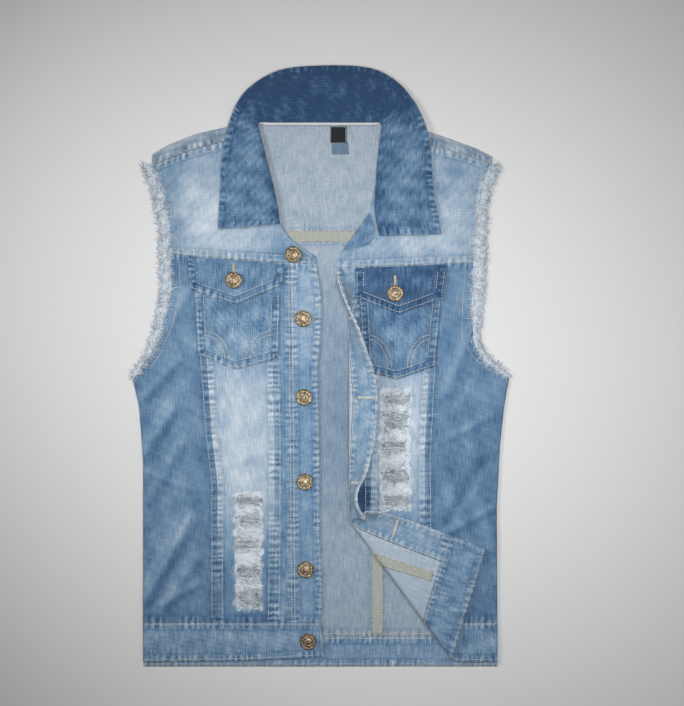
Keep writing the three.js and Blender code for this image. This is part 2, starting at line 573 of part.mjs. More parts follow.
// Raw armhole edge: locks of pulled thread on a narrow strip beside the cloth's edge. The strip has the side
// panel's rows up to the yoke and the armhole's own corners above it.
function buildFray(side, edge) {
  const out = side === "right" ? -1 : 1;
  const [yTop, yBottom] = [edge[0][0] - 2, edge.at(-1)[0] + 3];
  const onYoke = edge.map(([y]) => y).filter((y) => y > 120 && y < yTop).reverse();
  const rows = [yBottom, ...ARMHOLE_ROWS.filter((y) => y > yBottom), ...onYoke, yTop];
  const strip = wall(1, rows.length - 1, FRAY_STRIP.thickness, (u, v, h) => {
    const y = rows[Math.round(v * (rows.length - 1))];
    const near = read(edge, y) + out * FRAY_STRIP.gap;
    const x = side === "right" ? near - FRAY_STRIP.width * (1 - u) : near + FRAY_STRIP.width * u;
    return [x, y, FRONT_REST + h];
  });
  let solid = toSolid(strip);
  for (let k = 0; k < FRAY_LOCKS; k += 1) {
    const y = mix(yBottom + 2, yTop - 2, (k + 0.5) / FRAY_LOCKS);
    const length = read(FRAY_LENGTH, y) * (0.75 + 0.25 * Math.sin(k * 2.4));
    const lean = 0.5 * Math.sin(k * 1.9) - 0.15;
    const lock = new THREE.CylinderGeometry(0.5, 1.5, length, 3, 1).translate(0, length / 2, 0);
    lock.rotateZ(out * (-Math.PI / 2 - lean)).rotateY(out * 0.06 * Math.sin(k * 3.1));
    lock.translate(read(edge, y) + out * FRAY_STRIP.root, y, FRONT_REST + FRAY_STRIP.thickness / 2);
    solid = solid.add(toSolid(lock));
  }
  addMesh("armhole_fray_" + side, toGeometry(solid), THREAD);
}

// The woven label and the tab below it, flat on the inside of the back.
function buildLabels() {
  for (const [name, { x0, x1, y0, y1 }] of Object.entries(LABELS)) {
    const flat = wall(1, 1, LABEL_THICKNESS, (u, v, h) => [mix(x0, x1, u), mix(y0, y1, v), CLOTH + SEAM_GAP + h]);
    addMesh(name, flat, name === "neck_label" ? LABEL : MID_BLUE);
  }
}

buildBack();
buildRightFront();
buildLeftFront();
buildCollar();
for (const side of ["right", "left"]) {
  buildPocket(side, POCKETS[side]);
  buildWeft(side, RIPS[side]);
}
FRONT_BUTTONS.forEach(({ x, y }, k) => addButton("button_front_" + (k + 1), x, y, k === 0 ? CLOTH : DOUBLE));
buildFray("right", ARMHOLE_RIGHT);
buildFray("left", ARMHOLE_LEFT);
buildLabels();

export default model;
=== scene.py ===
import math
import bpy
import numpy as np
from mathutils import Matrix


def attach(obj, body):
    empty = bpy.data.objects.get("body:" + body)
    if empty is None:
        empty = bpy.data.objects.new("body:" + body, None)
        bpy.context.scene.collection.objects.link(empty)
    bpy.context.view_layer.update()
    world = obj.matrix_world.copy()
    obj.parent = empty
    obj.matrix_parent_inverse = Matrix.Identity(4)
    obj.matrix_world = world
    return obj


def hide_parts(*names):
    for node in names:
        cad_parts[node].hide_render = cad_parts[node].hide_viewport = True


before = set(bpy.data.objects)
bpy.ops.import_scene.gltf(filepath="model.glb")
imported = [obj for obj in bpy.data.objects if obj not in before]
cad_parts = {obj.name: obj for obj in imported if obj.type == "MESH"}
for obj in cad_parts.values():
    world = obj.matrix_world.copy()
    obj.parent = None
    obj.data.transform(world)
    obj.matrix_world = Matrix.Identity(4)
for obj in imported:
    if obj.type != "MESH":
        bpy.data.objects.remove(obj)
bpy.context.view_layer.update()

# The place it lies in: a plain pale floor, seen from straight above, under one broad soft light
# and two weaker ones at the sides, so that the creases and the sewing throw short soft shadows.
FLOOR_GREY = (0.60, 0.60, 0.603, 1)
VIEW_CENTRE = (0.0234, 0.015)  # what the middle of the picture looks at, in metres
VIEW_HEIGHT = 0.8472           # metres from the picture's top to its bottom
LENS = 100
SENSOR = 36

camera_data = bpy.data.cameras.new("camera")
camera_data.lens = LENS
camera_data.sensor_width = SENSOR
camera = bpy.data.objects.new("camera", camera_data)
camera.location = (*VIEW_CENTRE, VIEW_HEIGHT * LENS / SENSOR)
bpy.context.collection.objects.link(camera)
bpy.context.scene.camera = camera
bpy.context.scene.view_settings.view_transform = "Standard"


def area_light(name, place, size, watts, spread, aim=(0, 0, 0)):
    """A square soft light at place that shines at aim, narrowed by a grid to spread degrees."""
    data = bpy.data.lights.new(name, "AREA")
    data.size = size
    data.energy = watts
    data.spread = math.radians(spread)
    light = bpy.data.objects.new(name, data)
    away = np.subtract(place, aim)
    light.location = place
    light.rotation_euler = (math.acos(away[2] / np.linalg.norm(away)), 0, math.atan2(away[0], -away[1]))
    bpy.context.collection.objects.link(light)


area_light("overhead", (0.14, 0.04, 1.3), 0.5, 3.0, 78, (0.10, 0.0, 0))
area_light("left_key", (-0.75, 0.3, 0.8), 0.35, 1.5, 84, (0.08, -0.02, 0))
area_light("right_fill", (0.9, -0.1, 0.8), 0.8, 0.7, 120)
world = bpy.data.worlds.new("studio")
world.use_nodes = True
room = world.node_tree.nodes["Background"].inputs
room["Color"].default_value = (0.97, 0.98, 1, 1)
room["Strength"].default_value = 0.065
bpy.context.scene.world = world


def new_material(name, roughness, metallic=0.0):
    """A material with one Principled shader, and its node tree."""
    material = bpy.data.materials.new(name)
    material.use_nodes = True
    shader = material.node_tree.nodes["Principled BSDF"]
    shader.inputs["Roughness"].default_value = roughness
    shader.inputs["Metallic"].default_value = metallic
    return material, material.node_tree, shader


floor_material, _, floor_shader = new_material("pale_floor", 0.75)
floor_shader.inputs["Base Color"].default_value = FLOOR_GREY
floor_mesh = bpy.data.meshes.new("floor")
floor_mesh.from_pydata([(-4, -4, 0), (4, -4, 0), (4, 4, 0), (-4, 4, 0)], [], [(0, 1, 2, 3)])
floor_mesh.materials.append(floor_material)
floor = bpy.data.objects.new("floor", floor_mesh)
bpy.context.collection.objects.link(floor)

# Denim: cotton twill with indigo warp and white weft, stone-washed. The face is blue where little
# dye is gone and almost white where much is; the reverse is paler and greyer, and torn edges are white.
DYE = [  # share of the dye washed out, and the colour it leaves (linear)
    (0.0, (0.018, 0.050, 0.118)),
    (0.25, (0.060, 0.128, 0.232)),
    (0.5, (0.144, 0.242, 0.355)),
    (0.75, (0.312, 0.393, 0.478)),
    (1.0, (0.525, 0.575, 0.635)),
]
WEAVE_PITCH = 0.9      # mm between the twill's diagonal ribs
SLUB = 26              # uneven yarns across the cloth, per decimetre


def node(tree, kind, links=None, **settings):
    """Adds a node. links gives its sockets values or other sockets; settings are its properties."""
    made = tree.nodes.new(kind)
    for name, value in settings.items():
        setattr(made, name, value)
    for key, value in (links or {}).items():
        socket = made.inputs[key]
        if isinstance(value, bpy.types.NodeSocket):
            tree.links.new(value, socket)
        else:
            socket.default_value = value
    return made


def maths(tree, operation, *values):
    """One Math node: operation on sockets or numbers."""
    return node(tree, "ShaderNodeMath", dict(enumerate(values)), operation=operation).outputs[0]


def noise(tree, place, scale=1, detail=2, **more):
    """The value of a Noise Texture at a place."""
    sockets = {"Vector": place, "Scale": scale, "Detail": detail, **more}
    return node(tree, "ShaderNodeTexNoise", sockets).outputs[0]


def stretched(tree, place, scale):
    """A place stretched by a Mapping node."""
    return node(tree, "ShaderNodeMapping", {0: place, "Scale": scale}).outputs[0]


def bumped(tree, shader, height, strength, distance):
    """Gives the shader a bump of this height."""
    bump = node(tree, "ShaderNodeBump", {"Height": height, "Strength": strength, "Distance": distance})
    tree.links.new(bump.outputs[0], shader.inputs["Normal"])


def make_weave_group():
    """Twill by formula: ribs = sin((x + y) / pitch), and slubs = noise stretched along each yarn."""
    group = bpy.data.node_groups.new("twill_weave", "ShaderNodeTree")
    for name, way, kind in (("Place", "INPUT", "Vector"), ("Washed", "INPUT", "Float"),
                            ("Mottle", "INPUT", "Float"), ("Washed", "OUTPUT", "Float"),
                            ("Height", "OUTPUT", "Float")):
        group.interface.new_socket(name, in_out=way, socket_type="NodeSocket" + kind)
    start = group.nodes.new("NodeGroupInput")
    end = group.nodes.new("NodeGroupOutput")
    place = start.outputs["Place"]
    across, down = node(group, "ShaderNodeSeparateXYZ", {0: place}).outputs[:2]
    turn = 200 * math.pi / WEAVE_PITCH  # the map is in decimetres

    def add(*values):
        return maths(group, "ADD", *values)

    def times(*values):
        return maths(group, "MULTIPLY", *values)

    ribs = maths(group, "SINE", times(add(across, down), turn))
    warp = noise(group, stretched(group, place, (SLUB * 4, SLUB * 0.22, 1)), detail=3)
    weft = noise(group, stretched(group, place, (SLUB * 0.4, SLUB * 4, 1)), detail=3)
    cloud = noise(group, place, 5, 7, Roughness=0.7)
    grain = noise(group, place, 120, 4, Roughness=0.75)
    yarns = add(add(warp, times(weft, 0.6)), -0.8)
    spots = add(times(add(cloud, -0.5), 0.34), times(add(grain, -0.5), 0.5))
    uneven = times(add(times(yarns, 0.56), spots), start.outputs["Mottle"])
    washed = add(add(start.outputs["Washed"], uneven), times(ribs, 0.02))
    height = add(times(ribs, 0.25), add(yarns, grain))
    group.links.new(washed, end.inputs["Washed"])
    group.links.new(height, end.inputs["Height"])
    return group


weave = make_weave_group()


def denim_material(name, shift=0.0, contrast=1.0, mottle=1.0, grey=0.0):
    """Denim whose dye follows the "washed" attribute, times contrast plus shift, and partly greyed."""
    material, tree, shader = new_material(name, 0.88)
    shader.inputs["Sheen Weight"].default_value = 0.12
    shader.inputs["Sheen Roughness"].default_value = 0.6
    shader.inputs["Specular IOR Level"].default_value = 0.18
    place = node(tree, "ShaderNodeUVMap", uv_map="pattern").outputs[0]
    washed = node(tree, "ShaderNodeAttribute", attribute_name="washed").outputs["Fac"]
    level = maths(tree, "ADD", maths(tree, "MULTIPLY", washed, contrast), shift)
    cloth = node(tree, "ShaderNodeGroup", node_tree=weave)
    tree.links.new(place, cloth.inputs["Place"])
    tree.links.new(level, cloth.inputs["Washed"])
    cloth.inputs["Mottle"].default_value = mottle
    ramp = node(tree, "ShaderNodeValToRGB", {0: cloth.outputs["Washed"]})
    stops = ramp.color_ramp.elements
    for k, (at, colour) in enumerate(DYE):
        stop = stops[k] if k in (0, 1) else stops.new(at)
        stop.position = at
        level_grey = sum(colour) / 3
        stop.color = (*[c + (level_grey - c) * grey for c in colour], 1)
    tree.links.new(ramp.outputs[0], shader.inputs["Base Color"])
    bumped(tree, shader, cloth.outputs["Height"], 0.35, 0.0002)
    return material


denim_face = denim_material("denim_face")
denim_reverse = denim_material("denim_reverse", shift=0.62, contrast=0.28, mottle=0.6, grey=0.2)
denim_inside = denim_material("denim_inside", mottle=0.95, grey=0.3)
denim_trim = denim_material("denim_trim", mottle=1.4)
denim_edge = denim_material("denim_cut_edge", shift=0.45, contrast=0.5, mottle=1.2)

# The back: a yoke, a centre and two side panels and a waistband, cut from denim and felled together.
# They lie face down, so that their paler insides show through the neck and between the fronts.
CLOTH = 1.5
DOUBLE = 2.2
GAP = 0.3
FELL = 7            # half the width of a felled seam, mm
PUCKER = 7.5        # mm from one pucker of a shrunk seam to the next
BACK_TOP = 155
BACK_BAND = -325
BACK_SEAM = 66
SHOULDER_FOLD_RIGHT = [(-210, 249), (-182, 265), (-151, 277), (-116, 285), (-77, 292)]
SHOULDER_FOLD_LEFT = [(70, 293), (126, 280), (155, 270), (185, 259), (210, 246)]
SIDE_RIGHT = [(131, -185), (92, -183), (52, -191), (14, -207), (-14, -228), (-49, -220), (-111, -215),
              (-355, -215)]
SIDE_LEFT = [(124, 184.5), (71, 181), (32, 180), (8, 195), (-14, 224), (-49, 218), (-95, 213), (-172, 209),
             (-355, 210)]
ARMHOLE_RIGHT = [(239, -206), (215, -195), (167, -185), (128, -185), (92, -183), (52, -191), (14, -207),
                 (-14, -228)]
ARMHOLE_LEFT = [(238, 203), (215, 191), (191, 187), (147, 185), (111, 184), (71, 181), (32, 180), (8, 195),
                (-14, 224)]


def along(table):
    """Reads rows of (at, value) with straight lines between them, for whole arrays."""
    rows = np.array(sorted(table), float)
    return lambda at: np.interp(at, rows[:, 0], rows[:, 1])


def level(value):
    """The same value everywhere."""
    return lambda at: np.full(np.shape(at), float(value))


def read(line, at):
    """One number of a line."""
    return float(line(np.array(float(at))))


def ripple(x, y, seed=0.0):
    """Smooth uneven numbers, about -1 to 1: the sum of five sines of unlike directions and lengths."""
    total = 0.0
    for k in range(5):
        angle = 2.4 * k + seed
        size = 9.0 + 11.0 * k
        across = (x * math.cos(angle) + y * math.sin(angle)) / size
        total = total + np.sin(across * 2 * math.pi + 1.7 * k + 3 * seed)
    return total / 2.6


def blobs(x, y, base, rows):
    """A base value plus soft oval patches: each row is x, y, half width, half length, how much."""
    total = np.full(np.shape(x), float(base))
    for cx, cy, rx, ry, much in rows:
        total = total + much * np.exp(-((x - cx) / rx) ** 2 - ((y - cy) / ry) ** 2)
    return total


def placed(name, mesh, materials):
    """The mesh as an object at the origin, with its materials."""
    for material in materials:
        mesh.materials.append(material)
    piece = bpy.data.objects.new(name, mesh)
    bpy.context.collection.objects.link(piece)
    return piece


def wall_mesh(name, under, over, flat_map, keep, washed, materials):
    """A closed wall between two grids of points in mm: their faces, and a rim round every kept part."""
    rows, columns = under.shape[:2]
    index = np.arange(rows * columns).reshape(rows, columns)
    a, b = index[:-1, :-1], index[:-1, 1:]
    d, c = index[1:, :-1], index[1:, 1:]
    keep = np.ones(a.shape, bool) if keep is None else keep
    top = rows * columns
    lower = np.stack([a, d, c, b], -1)[keep]
    upper = np.stack([a, b, c, d], -1)[keep] + top
    padded = np.pad(keep, 1)
    rims = []
    for beside, start, end in ((padded[:-2, 1:-1], a, b), (padded[1:-1, 2:], b, c),
                               (padded[2:, 1:-1], c, d), (padded[1:-1, :-2], d, a)):
        edge = keep & ~beside
        p, q = start[edge], end[edge]
        rims.append(np.stack([p, q, q + top, p + top], -1))
    rim = np.concatenate(rims)
    faces = np.concatenate([lower, upper, rim])
    points = np.concatenate([under.reshape(-1, 3), over.reshape(-1, 3)]) / 1000
    slots = np.concatenate([np.full(len(lower), 1), np.full(len(upper), 0), np.full(len(rim), 2)])
    used, faces = np.unique(faces, return_inverse=True)
    faces = faces.reshape(-1, 4)
    mesh = bpy.data.meshes.new(name)
    mesh.from_pydata(points[used].tolist(), [], faces.tolist())
    mesh.polygons.foreach_set("use_smooth", slots < 2)
    mesh.polygons.foreach_set("material_index", slots.astype(np.int32))
    layer = mesh.uv_layers.new(name="pattern")
    flat = np.concatenate([flat_map.reshape(-1, 2)] * 2)[used] / 100
    layer.data.foreach_set("uv", flat[faces.ravel()].ravel().astype(np.float32))
    layer = mesh.attributes.new("washed", "FLOAT", "POINT")
    layer.data.foreach_set("value", np.concatenate([washed.ravel()] * 2)[used].astype(np.float32))
    return placed(name, mesh, materials)


def settle(piece, nodes=()):
    """Rides a piece on the root body and hides the nodes it stands for."""
    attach(piece, "root")
    if nodes:
        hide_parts(*nodes)


def seam_work(distance, run, seed):
    """Felled seam beside an edge: (height, wash) from the distance to the edge and the run along it.
    Puckers are a sine of the run whose pitch and strength wander, and they stop at the topstitching,
    FELL mm in. A dark line just past the fell is painted shadow of its edge."""
    drift = 4.2 * ripple(run * 0.35, 0 * run, seed) + 1.1 * ripple(run * 2, distance * 2.4, seed + 1)
    fold = np.sin(2 * math.pi * (run + drift) / PUCKER)
    strength = np.clip(0.8 + 0.75 * ripple(run * 0.6, distance * 0.6, seed + 2), 0.05, 1.45)
    band = 1 / (1 + np.exp((distance - FELL) * 1.5))
    beyond = 0.3 * np.exp(-(distance / (FELL + 5)) ** 2)
    height = 0.3 * band + 0.42 * fold * strength * np.maximum(band, beyond)
    wash = band * (0.19 * fold * strength - 0.03) + 0.06 * fold * beyond
    # painted shadow: a dark line just past the fell's edge
    wash = wash - 0.12 * np.exp(-((distance - FELL - 1.9) / 1.3) ** 2)
    return height, wash + 0.2 * np.exp(-(distance / 1.1) ** 2)


def flat_place(x, y, h):
    """The back's own place: flat, h above the floor."""
    return np.stack([x, y, h + 0 * x], -1)


def cloth(name, left, right, low, high, wash, thickness=CLOTH, step=2.4, place=flat_place, lift=0.0,
          holes=None, seams="lrbt", relief=1.0, materials=(denim_face, denim_reverse, denim_edge),
          seed=0.0):
    """A cut panel on a grid between four edges. For shares u and v, solved by repeating both,
    x = mix(left(y), right(y), u) and y = mix(low(x), high(x), v). seams has the first letters of the
    felled edges."""
    middle_y = (read(low, 0) + read(high, 0)) / 2
    width = abs(read(right, middle_y) - read(left, middle_y))
    middle_x = (read(right, middle_y) + read(left, middle_y)) / 2
    length = read(high, middle_x) - read(low, middle_x)
    columns, rows = max(3, round(width / step)), max(3, round(length / step))
    u, v = np.meshgrid(np.linspace(0, 1, columns + 1), np.linspace(0, 1, rows + 1))
    y = middle_y + (v - 0.5) * length
    for _ in range(9):
        x = (left(y) + GAP / 2) * (1 - u) + (right(y) - GAP / 2) * u
        y = (low(x) + GAP / 2) * (1 - v) + (high(x) - GAP / 2) * v
    distances = {"l": x - left(y), "r": right(y) - x, "b": y - low(x), "t": high(x) - y}
    edges = {"l": left, "r": right, "b": low, "t": high}
    height = relief * (0.16 * ripple(x, y, seed) + 0.3 * ripple(x * 0.45, y * 0.45, seed + 2))
    washed = wash(x, y)
    for key, distance in distances.items():
        run = y if key in "lr" else x
        if key in seams:
            rise, pale = seam_work(np.maximum(distance, 0), run, 0.37 * read(edges[key], -150))
            height = height + relief * rise
            washed = washed + pale
    soft = np.minimum.reduce([np.clip(d / 1.2, 0, 1) for d in distances.values()])
    round_off = 0.45 * (1 - soft) ** 2
    keep = None
    if holes is not None:
        cx, cy = (x[:-1, :-1] + x[1:, 1:]) / 2, (y[:-1, :-1] + y[1:, 1:]) / 2
        keep = ~holes(cx, cy)
        washed = washed + holes(x, y, True)
    under = place(x, y, lift + np.maximum(0, height) * 0.3 + 0 * x)
    over = place(x, y, lift + thickness + np.maximum(height, -0.5) - round_off)
    if place is flat_place:
        under[..., 2] = lift
    piece = wall_mesh(name, under, over, np.stack([x, y], -1), keep, washed, materials)
    cell = np.abs((x[:-1, 1:] - x[:-1, :-1]) * (y[1:, :-1] - y[:-1, :-1]))
    size = (float(np.ptp(x)) / 1000, float(np.ptp(y)) / 1000)
    area = float(np.sum(cell if keep is None else cell[keep])) / 1e6
    return piece, size, min(area, size[0] * size[1])


def inset(table, by):
    """An edge moved in towards the middle of the garment."""
    line = along(table)
    return lambda at: line(at) - np.sign(line(at)) * by


def back_inside_tone_and_shade(x, y):
    """The inside of the back: pale weft, a little bluer low down, and painted shade between the fronts and
    under their edges.
    """
    # the second patch is painted shade between the fronts; the others are the cloth's own tone
    rows = [(10, 230, 90, 75, 0.03), (20, -60, 60, 150, -0.22), (30, -300, 120, 80, -0.07)]
    return blobs(x, y, 0.68, rows) + 0.02 * ripple(x, y)


armhole_back_right = inset(ARMHOLE_RIGHT[:-1] + SIDE_RIGHT[4:], 2)
armhole_back_left = inset(ARMHOLE_LEFT[:-1] + SIDE_LEFT[4:], 2)
neck_line = SHOULDER_FOLD_RIGHT + [(-70, 290), (66, 290)] + SHOULDER_FOLD_LEFT
yoke_top = along(neck_line)
BACK_PIECES = [  # name, left, right, low, high, grid step
    ("back_panel_centre", level(-BACK_SEAM), level(BACK_SEAM), level(BACK_BAND), level(BACK_TOP), 3.2),
    ("back_side_right", armhole_back_right, level(-BACK_SEAM), level(BACK_BAND), level(BACK_TOP), 5),
    ("back_side_left", level(BACK_SEAM), armhole_back_left, level(BACK_BAND), level(BACK_TOP), 4),
    ("waistband_back", level(-215), level(210), level(-361), level(BACK_BAND), 3),
    ("back_yoke", armhole_back_right, armhole_back_left, level(BACK_TOP), lambda x: yoke_top(x) - 1.2, 3.2),
]
for order, (name, left, right, low, high, step) in enumerate(BACK_PIECES):
    faced = name == "waistband_back"  # a waistband is double, so that its inside shows the blue face
    piece, size, area = cloth("cloth_" + name, left, right, low, high,
                              lambda x, y: back_inside_tone_and_shade(x, y) - 0.12 * faced,
                              step=step, relief=0.5, seed=0.7 * order,
                              seams="lrb" if name == "back_yoke" else "lrbt",
                              materials=(denim_trim if faced else denim_inside, denim_face, denim_edge))
    settle(piece, [name])

# The fronts: each is a yoke, a side panel, a centre panel, a narrow inset and a placket over a
# waistband, cut from the same denim, with creases pressed in. The yokes and centre panels are washed
# palest, and the felled seams that join them all are roped, with pale puckers.
LIFT = 1.8
LOFT = 2
HEM = -355
BAND_TOP = -308
PLACKET = 33
NECK_RIGHT = [(117, -7), (131, -8), (138, -19), (145, -29), (156, -41), (170, -50), (194, -60), (219, -66),
              (251, -74), (283, -80)]
NECK_LEFT = [(117, 17), (131, 20), (139, 25), (155, 36), (172, 48), (188, 57), (207, 61), (236, 64),
             (267, 68), (283, 74)]
EDGE_RIGHT = [(119, -7), (92, -2), (65, -1), (28, -3), (-3, -6), (-64, -4), (-202, -3), (-263, 0),
              (-308, -1), (-329, 2), (-355, 1)]
EDGE_LEFT = [(117, 17), (97, 13), (79, 9), (55, 2), (25, -6), (-10, -11), (-40, -13), (-80, -11),
             (-140, -7), (-182, -2), (-233, 3), (-355, 11)]
SEAM_A_RIGHT = [(131, -150), (7, -139), (-80, -133), (-141, -126), (-355, -126)]
SEAM_B_RIGHT = [(131, -62), (-80, -57), (-202, -57), (-355, -59)]
PLACKET_RIGHT = [(131, -38), (-355, -34)]
SEAM_A_LEFT = [(124, 128), (-9, 128), (-104, 123), (-355, 124)]
SEAM_B_LEFT = [(124, 62), (-149, 58), (-355, 60)]
YOKE_SEAM_RIGHT = [(-190, 134), (-6, 121)]
YOKE_SEAM_LEFT = [(17, 117), (185, 124)]
SHOULDER_SEAM_RIGHT = [(-206, 239.5), (-154, 259), (-119, 268), (-80, 281)]
SHOULDER_SEAM_LEFT = [(74, 281), (129, 263), (170, 253), (207, 239)]
HEM_RIGHT = [(-215, -355), (-100, -354), (1, -349)]
CREASES = [  # from x, y to x, y, half width, height
    (-181, -54, -212, -105, 8, 1.9), (-160, -185, -211, -281, 9, 2), (-186, 60, -150, 20, 9, 1.3),
    (176, -78, 206, -215, 10, 1.2), (178, 40, 150, -30, 9, 1.3), (-100, -20, -92, -150, 12, 0.8),
    (-168, -95, -205, -160, 6, 0.7), (-150, -230, -196, -300, 7, 0.8), (-172, 5, -214, -40, 6, 0.8),
    (150, -150, 196, -250, 7, 0.8), (192, -120, 150, -190, 6, -0.7), (-205, -200, -165, -235, 6, -0.6),
    (-130, 175, -100, 235, 10, 0.8), (110, 160, 150, 235, 10, 0.8), (-185, 160, -150, 205, 8, 0.7),
    (-208, -130, -152, -150, 4, 0.6), (-145, -60, -200, -20, 4, 0.5), (-213, -300, -150, -262, 4, 0.6),
    (-160, 90, -182, 45, 4, 0.5), (135, -60, 190, -112, 4, 0.6), (206, -60, 150, -88, 4, 0.5),
    (140, -205, 204, -172, 4, 0.6), (200, -300, 150, -268, 4, 0.6), (-186, 148, -120, 166, 4, 0.5),
    (-92, 140, -64, 198, 4, 0.5), (100, 150, 172, 134, 4, 0.5), (150, 222, 184, 170, 4, 0.5),
    (-122, -22, -74, -46, 4, 0.5), (-120, -122, -70, -104, 4, 0.5), (-34, -80, -8, -96, 4, 0.4),
    (-32, -205, -6, -188, 4, 0.4), (-140, -322, -60, -338, 4, 0.5), (80, -330, 160, -342, 4, 0.5),
]


def smooth(t):
    """0 below 0, 1 above 1 and t * t * (3 - 2 t) between."""
    t = np.clip(t, 0, 1)
    return t * t * (3 - 2 * t)


def front_under(x, y):
    """Height of the fronts' underside: a low dome, flat at the side seams and the shoulders, plus each
    crease, a ridge whose height falls as exp(-(distance / half width) squared)."""
    side = smooth((205 - np.abs(x)) / 60)
    inward = smooth((np.abs(x) - 5) / 50)
    down = smooth((115 - y) / 60) * smooth((y + 345) / 60)
    z = LIFT + 0.4 + LOFT * side * (0.35 + 0.65 * inward) * down
    for x0, y0, x1, y1, width, height in CREASES:
        dx, dy = x1 - x0, y1 - y0
        t = np.clip(((x - x0) * dx + (y - y0) * dy) / (dx * dx + dy * dy), 0, 1)
        off = np.hypot(x - x0 - t * dx, y - y0 - t * dy)
        z = z + height * np.exp(-(off / width) ** 2)
    return z


def right_place(x, y, h):
    """A point h above the underside of the right front."""
    return np.stack([x, y, front_under(x, y) + h], -1)


def crease_wear_and_painted_light(x, y):
    """Creases: paler on the crests from wear and painted light; painted light on the upper left flanks,
    painted shade on the other flanks.
    """
    crest = np.clip(front_under(x, y) - LIFT - 0.4 - LOFT, 0, 2)
    # painted light and shade: the flank facing the upper left is made paler, the far flank darker
    painted_light_lean = front_under(x + 3, y - 3) - front_under(x - 3, y + 3)
    return 0.09 * crest + 0.14 * np.clip(painted_light_lean, -1, 1)


def centre_wash(x, y):
    """Centre panels: nearly white from the pockets to the thigh, fading to blue near the waistband."""
    pale = 0.38 + 0.37 * smooth((y + 270) / 130) - 0.2 * smooth((y + 40) / 60)
    pale = pale + 0.6 * crease_wear_and_painted_light(x, y)
    rows = [(-92, -95, 30, 60, 0.06), (95, -40, 26, 60, 0.05), (95, -190, 40, 40, -0.2)]
    return pale + 0.05 * ripple(x, y, 0.4) + blobs(x, y, 0, rows)


def side_wash(x, y):
    """Side panels: middle blue, worn along the creases, with painted light and shade on the creases'
    flanks.
    """
    rows = [(-175, -60, 26, 40, 0.07), (-180, -200, 30, 60, 0.05), (178, -20, 24, 50, 0.12),
            (180, -230, 26, 70, 0.04), (-200, -320, 40, 40, 0.04), (-165, 60, 20, 50, 0.04),
            (165, 90, 20, 40, 0.1)]
    return blobs(x, y, 0.35, rows) + crease_wear_and_painted_light(x, y) + 0.05 * ripple(x * 0.8, y * 0.8, 1.1)


def yoke_wash(x, y):
    """Yokes: palest in the middle, bluer at the armholes and beside the collar."""
    rows = [(-140, 185, 34, 42, 0.3), (-95, 150, 40, 18, 0.18), (-190, 190, 20, 70, -0.12),
            (-60, 140, 26, 20, -0.1), (158, 170, 22, 46, 0.18), (190, 210, 16, 40, -0.06),
            (110, 150, 34, 20, 0.2), (60, 130, 30, 20, 0.02), (-30, 130, 20, 14, -0.2)]
    return blobs(x, y, 0.59, rows) + 0.6 * crease_wear_and_painted_light(x, y) + 0.06 * ripple(x, y, 2.3)


def trim_wash(base):
    """Double pieces: an even blue with small uneven scuffs."""
    return lambda x, y: base + 0.08 * ripple(x * 1.6, y * 1.6, base * 9)


def placket_wash(x, y):
    """Button side: paler at the chest and bluer at the hem."""
    return 0.49 + 0.14 * smooth((y + 30) / 80) + 0.05 * ripple(x * 1.5, y * 1.5, 5.2)


RIPS = {  # where each panel is torn: side edges, and the top and bottom of each row
    "right": (-103, -74, [(-158, -166), (-181, -190), (-209, -220), (-242, -254), (-271, -287)]),
    "left": (71, 103, [(-35, -46), (-57, -75), (-91, -106), (-124, -140), (-155, -168)]),
}


def torn(side):
    """The torn rows of a panel, as a test of points: which of them lie in a hole, an oval with a ragged
    edge. With wash=True it says how much whiter the cloth is in the whole torn column."""
    x0, x1, rows = RIPS[side]

    def test(x, y, wash=False):
        found = np.zeros(np.shape(x), float)
        for k, (top, bottom) in enumerate(rows):
            mid, half = (top + bottom) / 2, (top - bottom) / 2
            left, right = x0 + 2.6 * math.sin(2.1 * k), x1 + 2.6 * math.cos(1.7 * k)
            u = (x - (left + right) / 2) / ((right - left) / 2)
            v = (y - mid) / half
            edge = 0.85 - np.abs(u) ** 3.2 - np.abs(v) ** 2.6 + 0.45 * ripple(x * 4, y * 3, k + 0.3)
            found = np.maximum(found, (edge > 0).astype(float))
        if wash:
            beside = np.maximum(np.maximum(x0 - x, x - x1),
                                np.maximum(y - rows[0][0] - 4, rows[-1][1] - 4 - y))
            return 0.55 * smooth(1 - (beside - 2.2 * ripple(x * 3, y * 3, 0.8)) / 3)
        return found > 0.5
    return test


seam_a, seam_b, placket_line = along(SEAM_A_RIGHT), along(SEAM_B_RIGHT), along(PLACKET_RIGHT)
edge_right, side_right, yoke_seam_right = along(EDGE_RIGHT), along(SIDE_RIGHT), along(YOKE_SEAM_RIGHT)
band_top = level(BAND_TOP)
one_face = (denim_face, denim_reverse, denim_edge)
both_faces = (denim_face, denim_face, denim_edge)
trim_faces = (denim_trim, denim_trim, denim_edge)
band_faces = (denim_trim, denim_reverse, denim_edge)


def lay_front(side, pieces, place, seed, seed_step):
    """Cuts and lays one front. Each row: name, left, right, low, high, wash, thickness, grid step,
    felled edges, slot, materials."""
    for order, (name, left, right, low, high, wash, thick, step, seams, slot, faces) in enumerate(pieces):
        holes = torn(side) if name == "front_panel" else None
        piece, size, area = cloth("cloth_%s_%s" % (name, side), left, right, low, high, wash, thick, step,
                                  place, 0, holes, seams, 1, faces, seed + seed_step * order)
        settle(piece, ["%s_%s" % (name, side)])


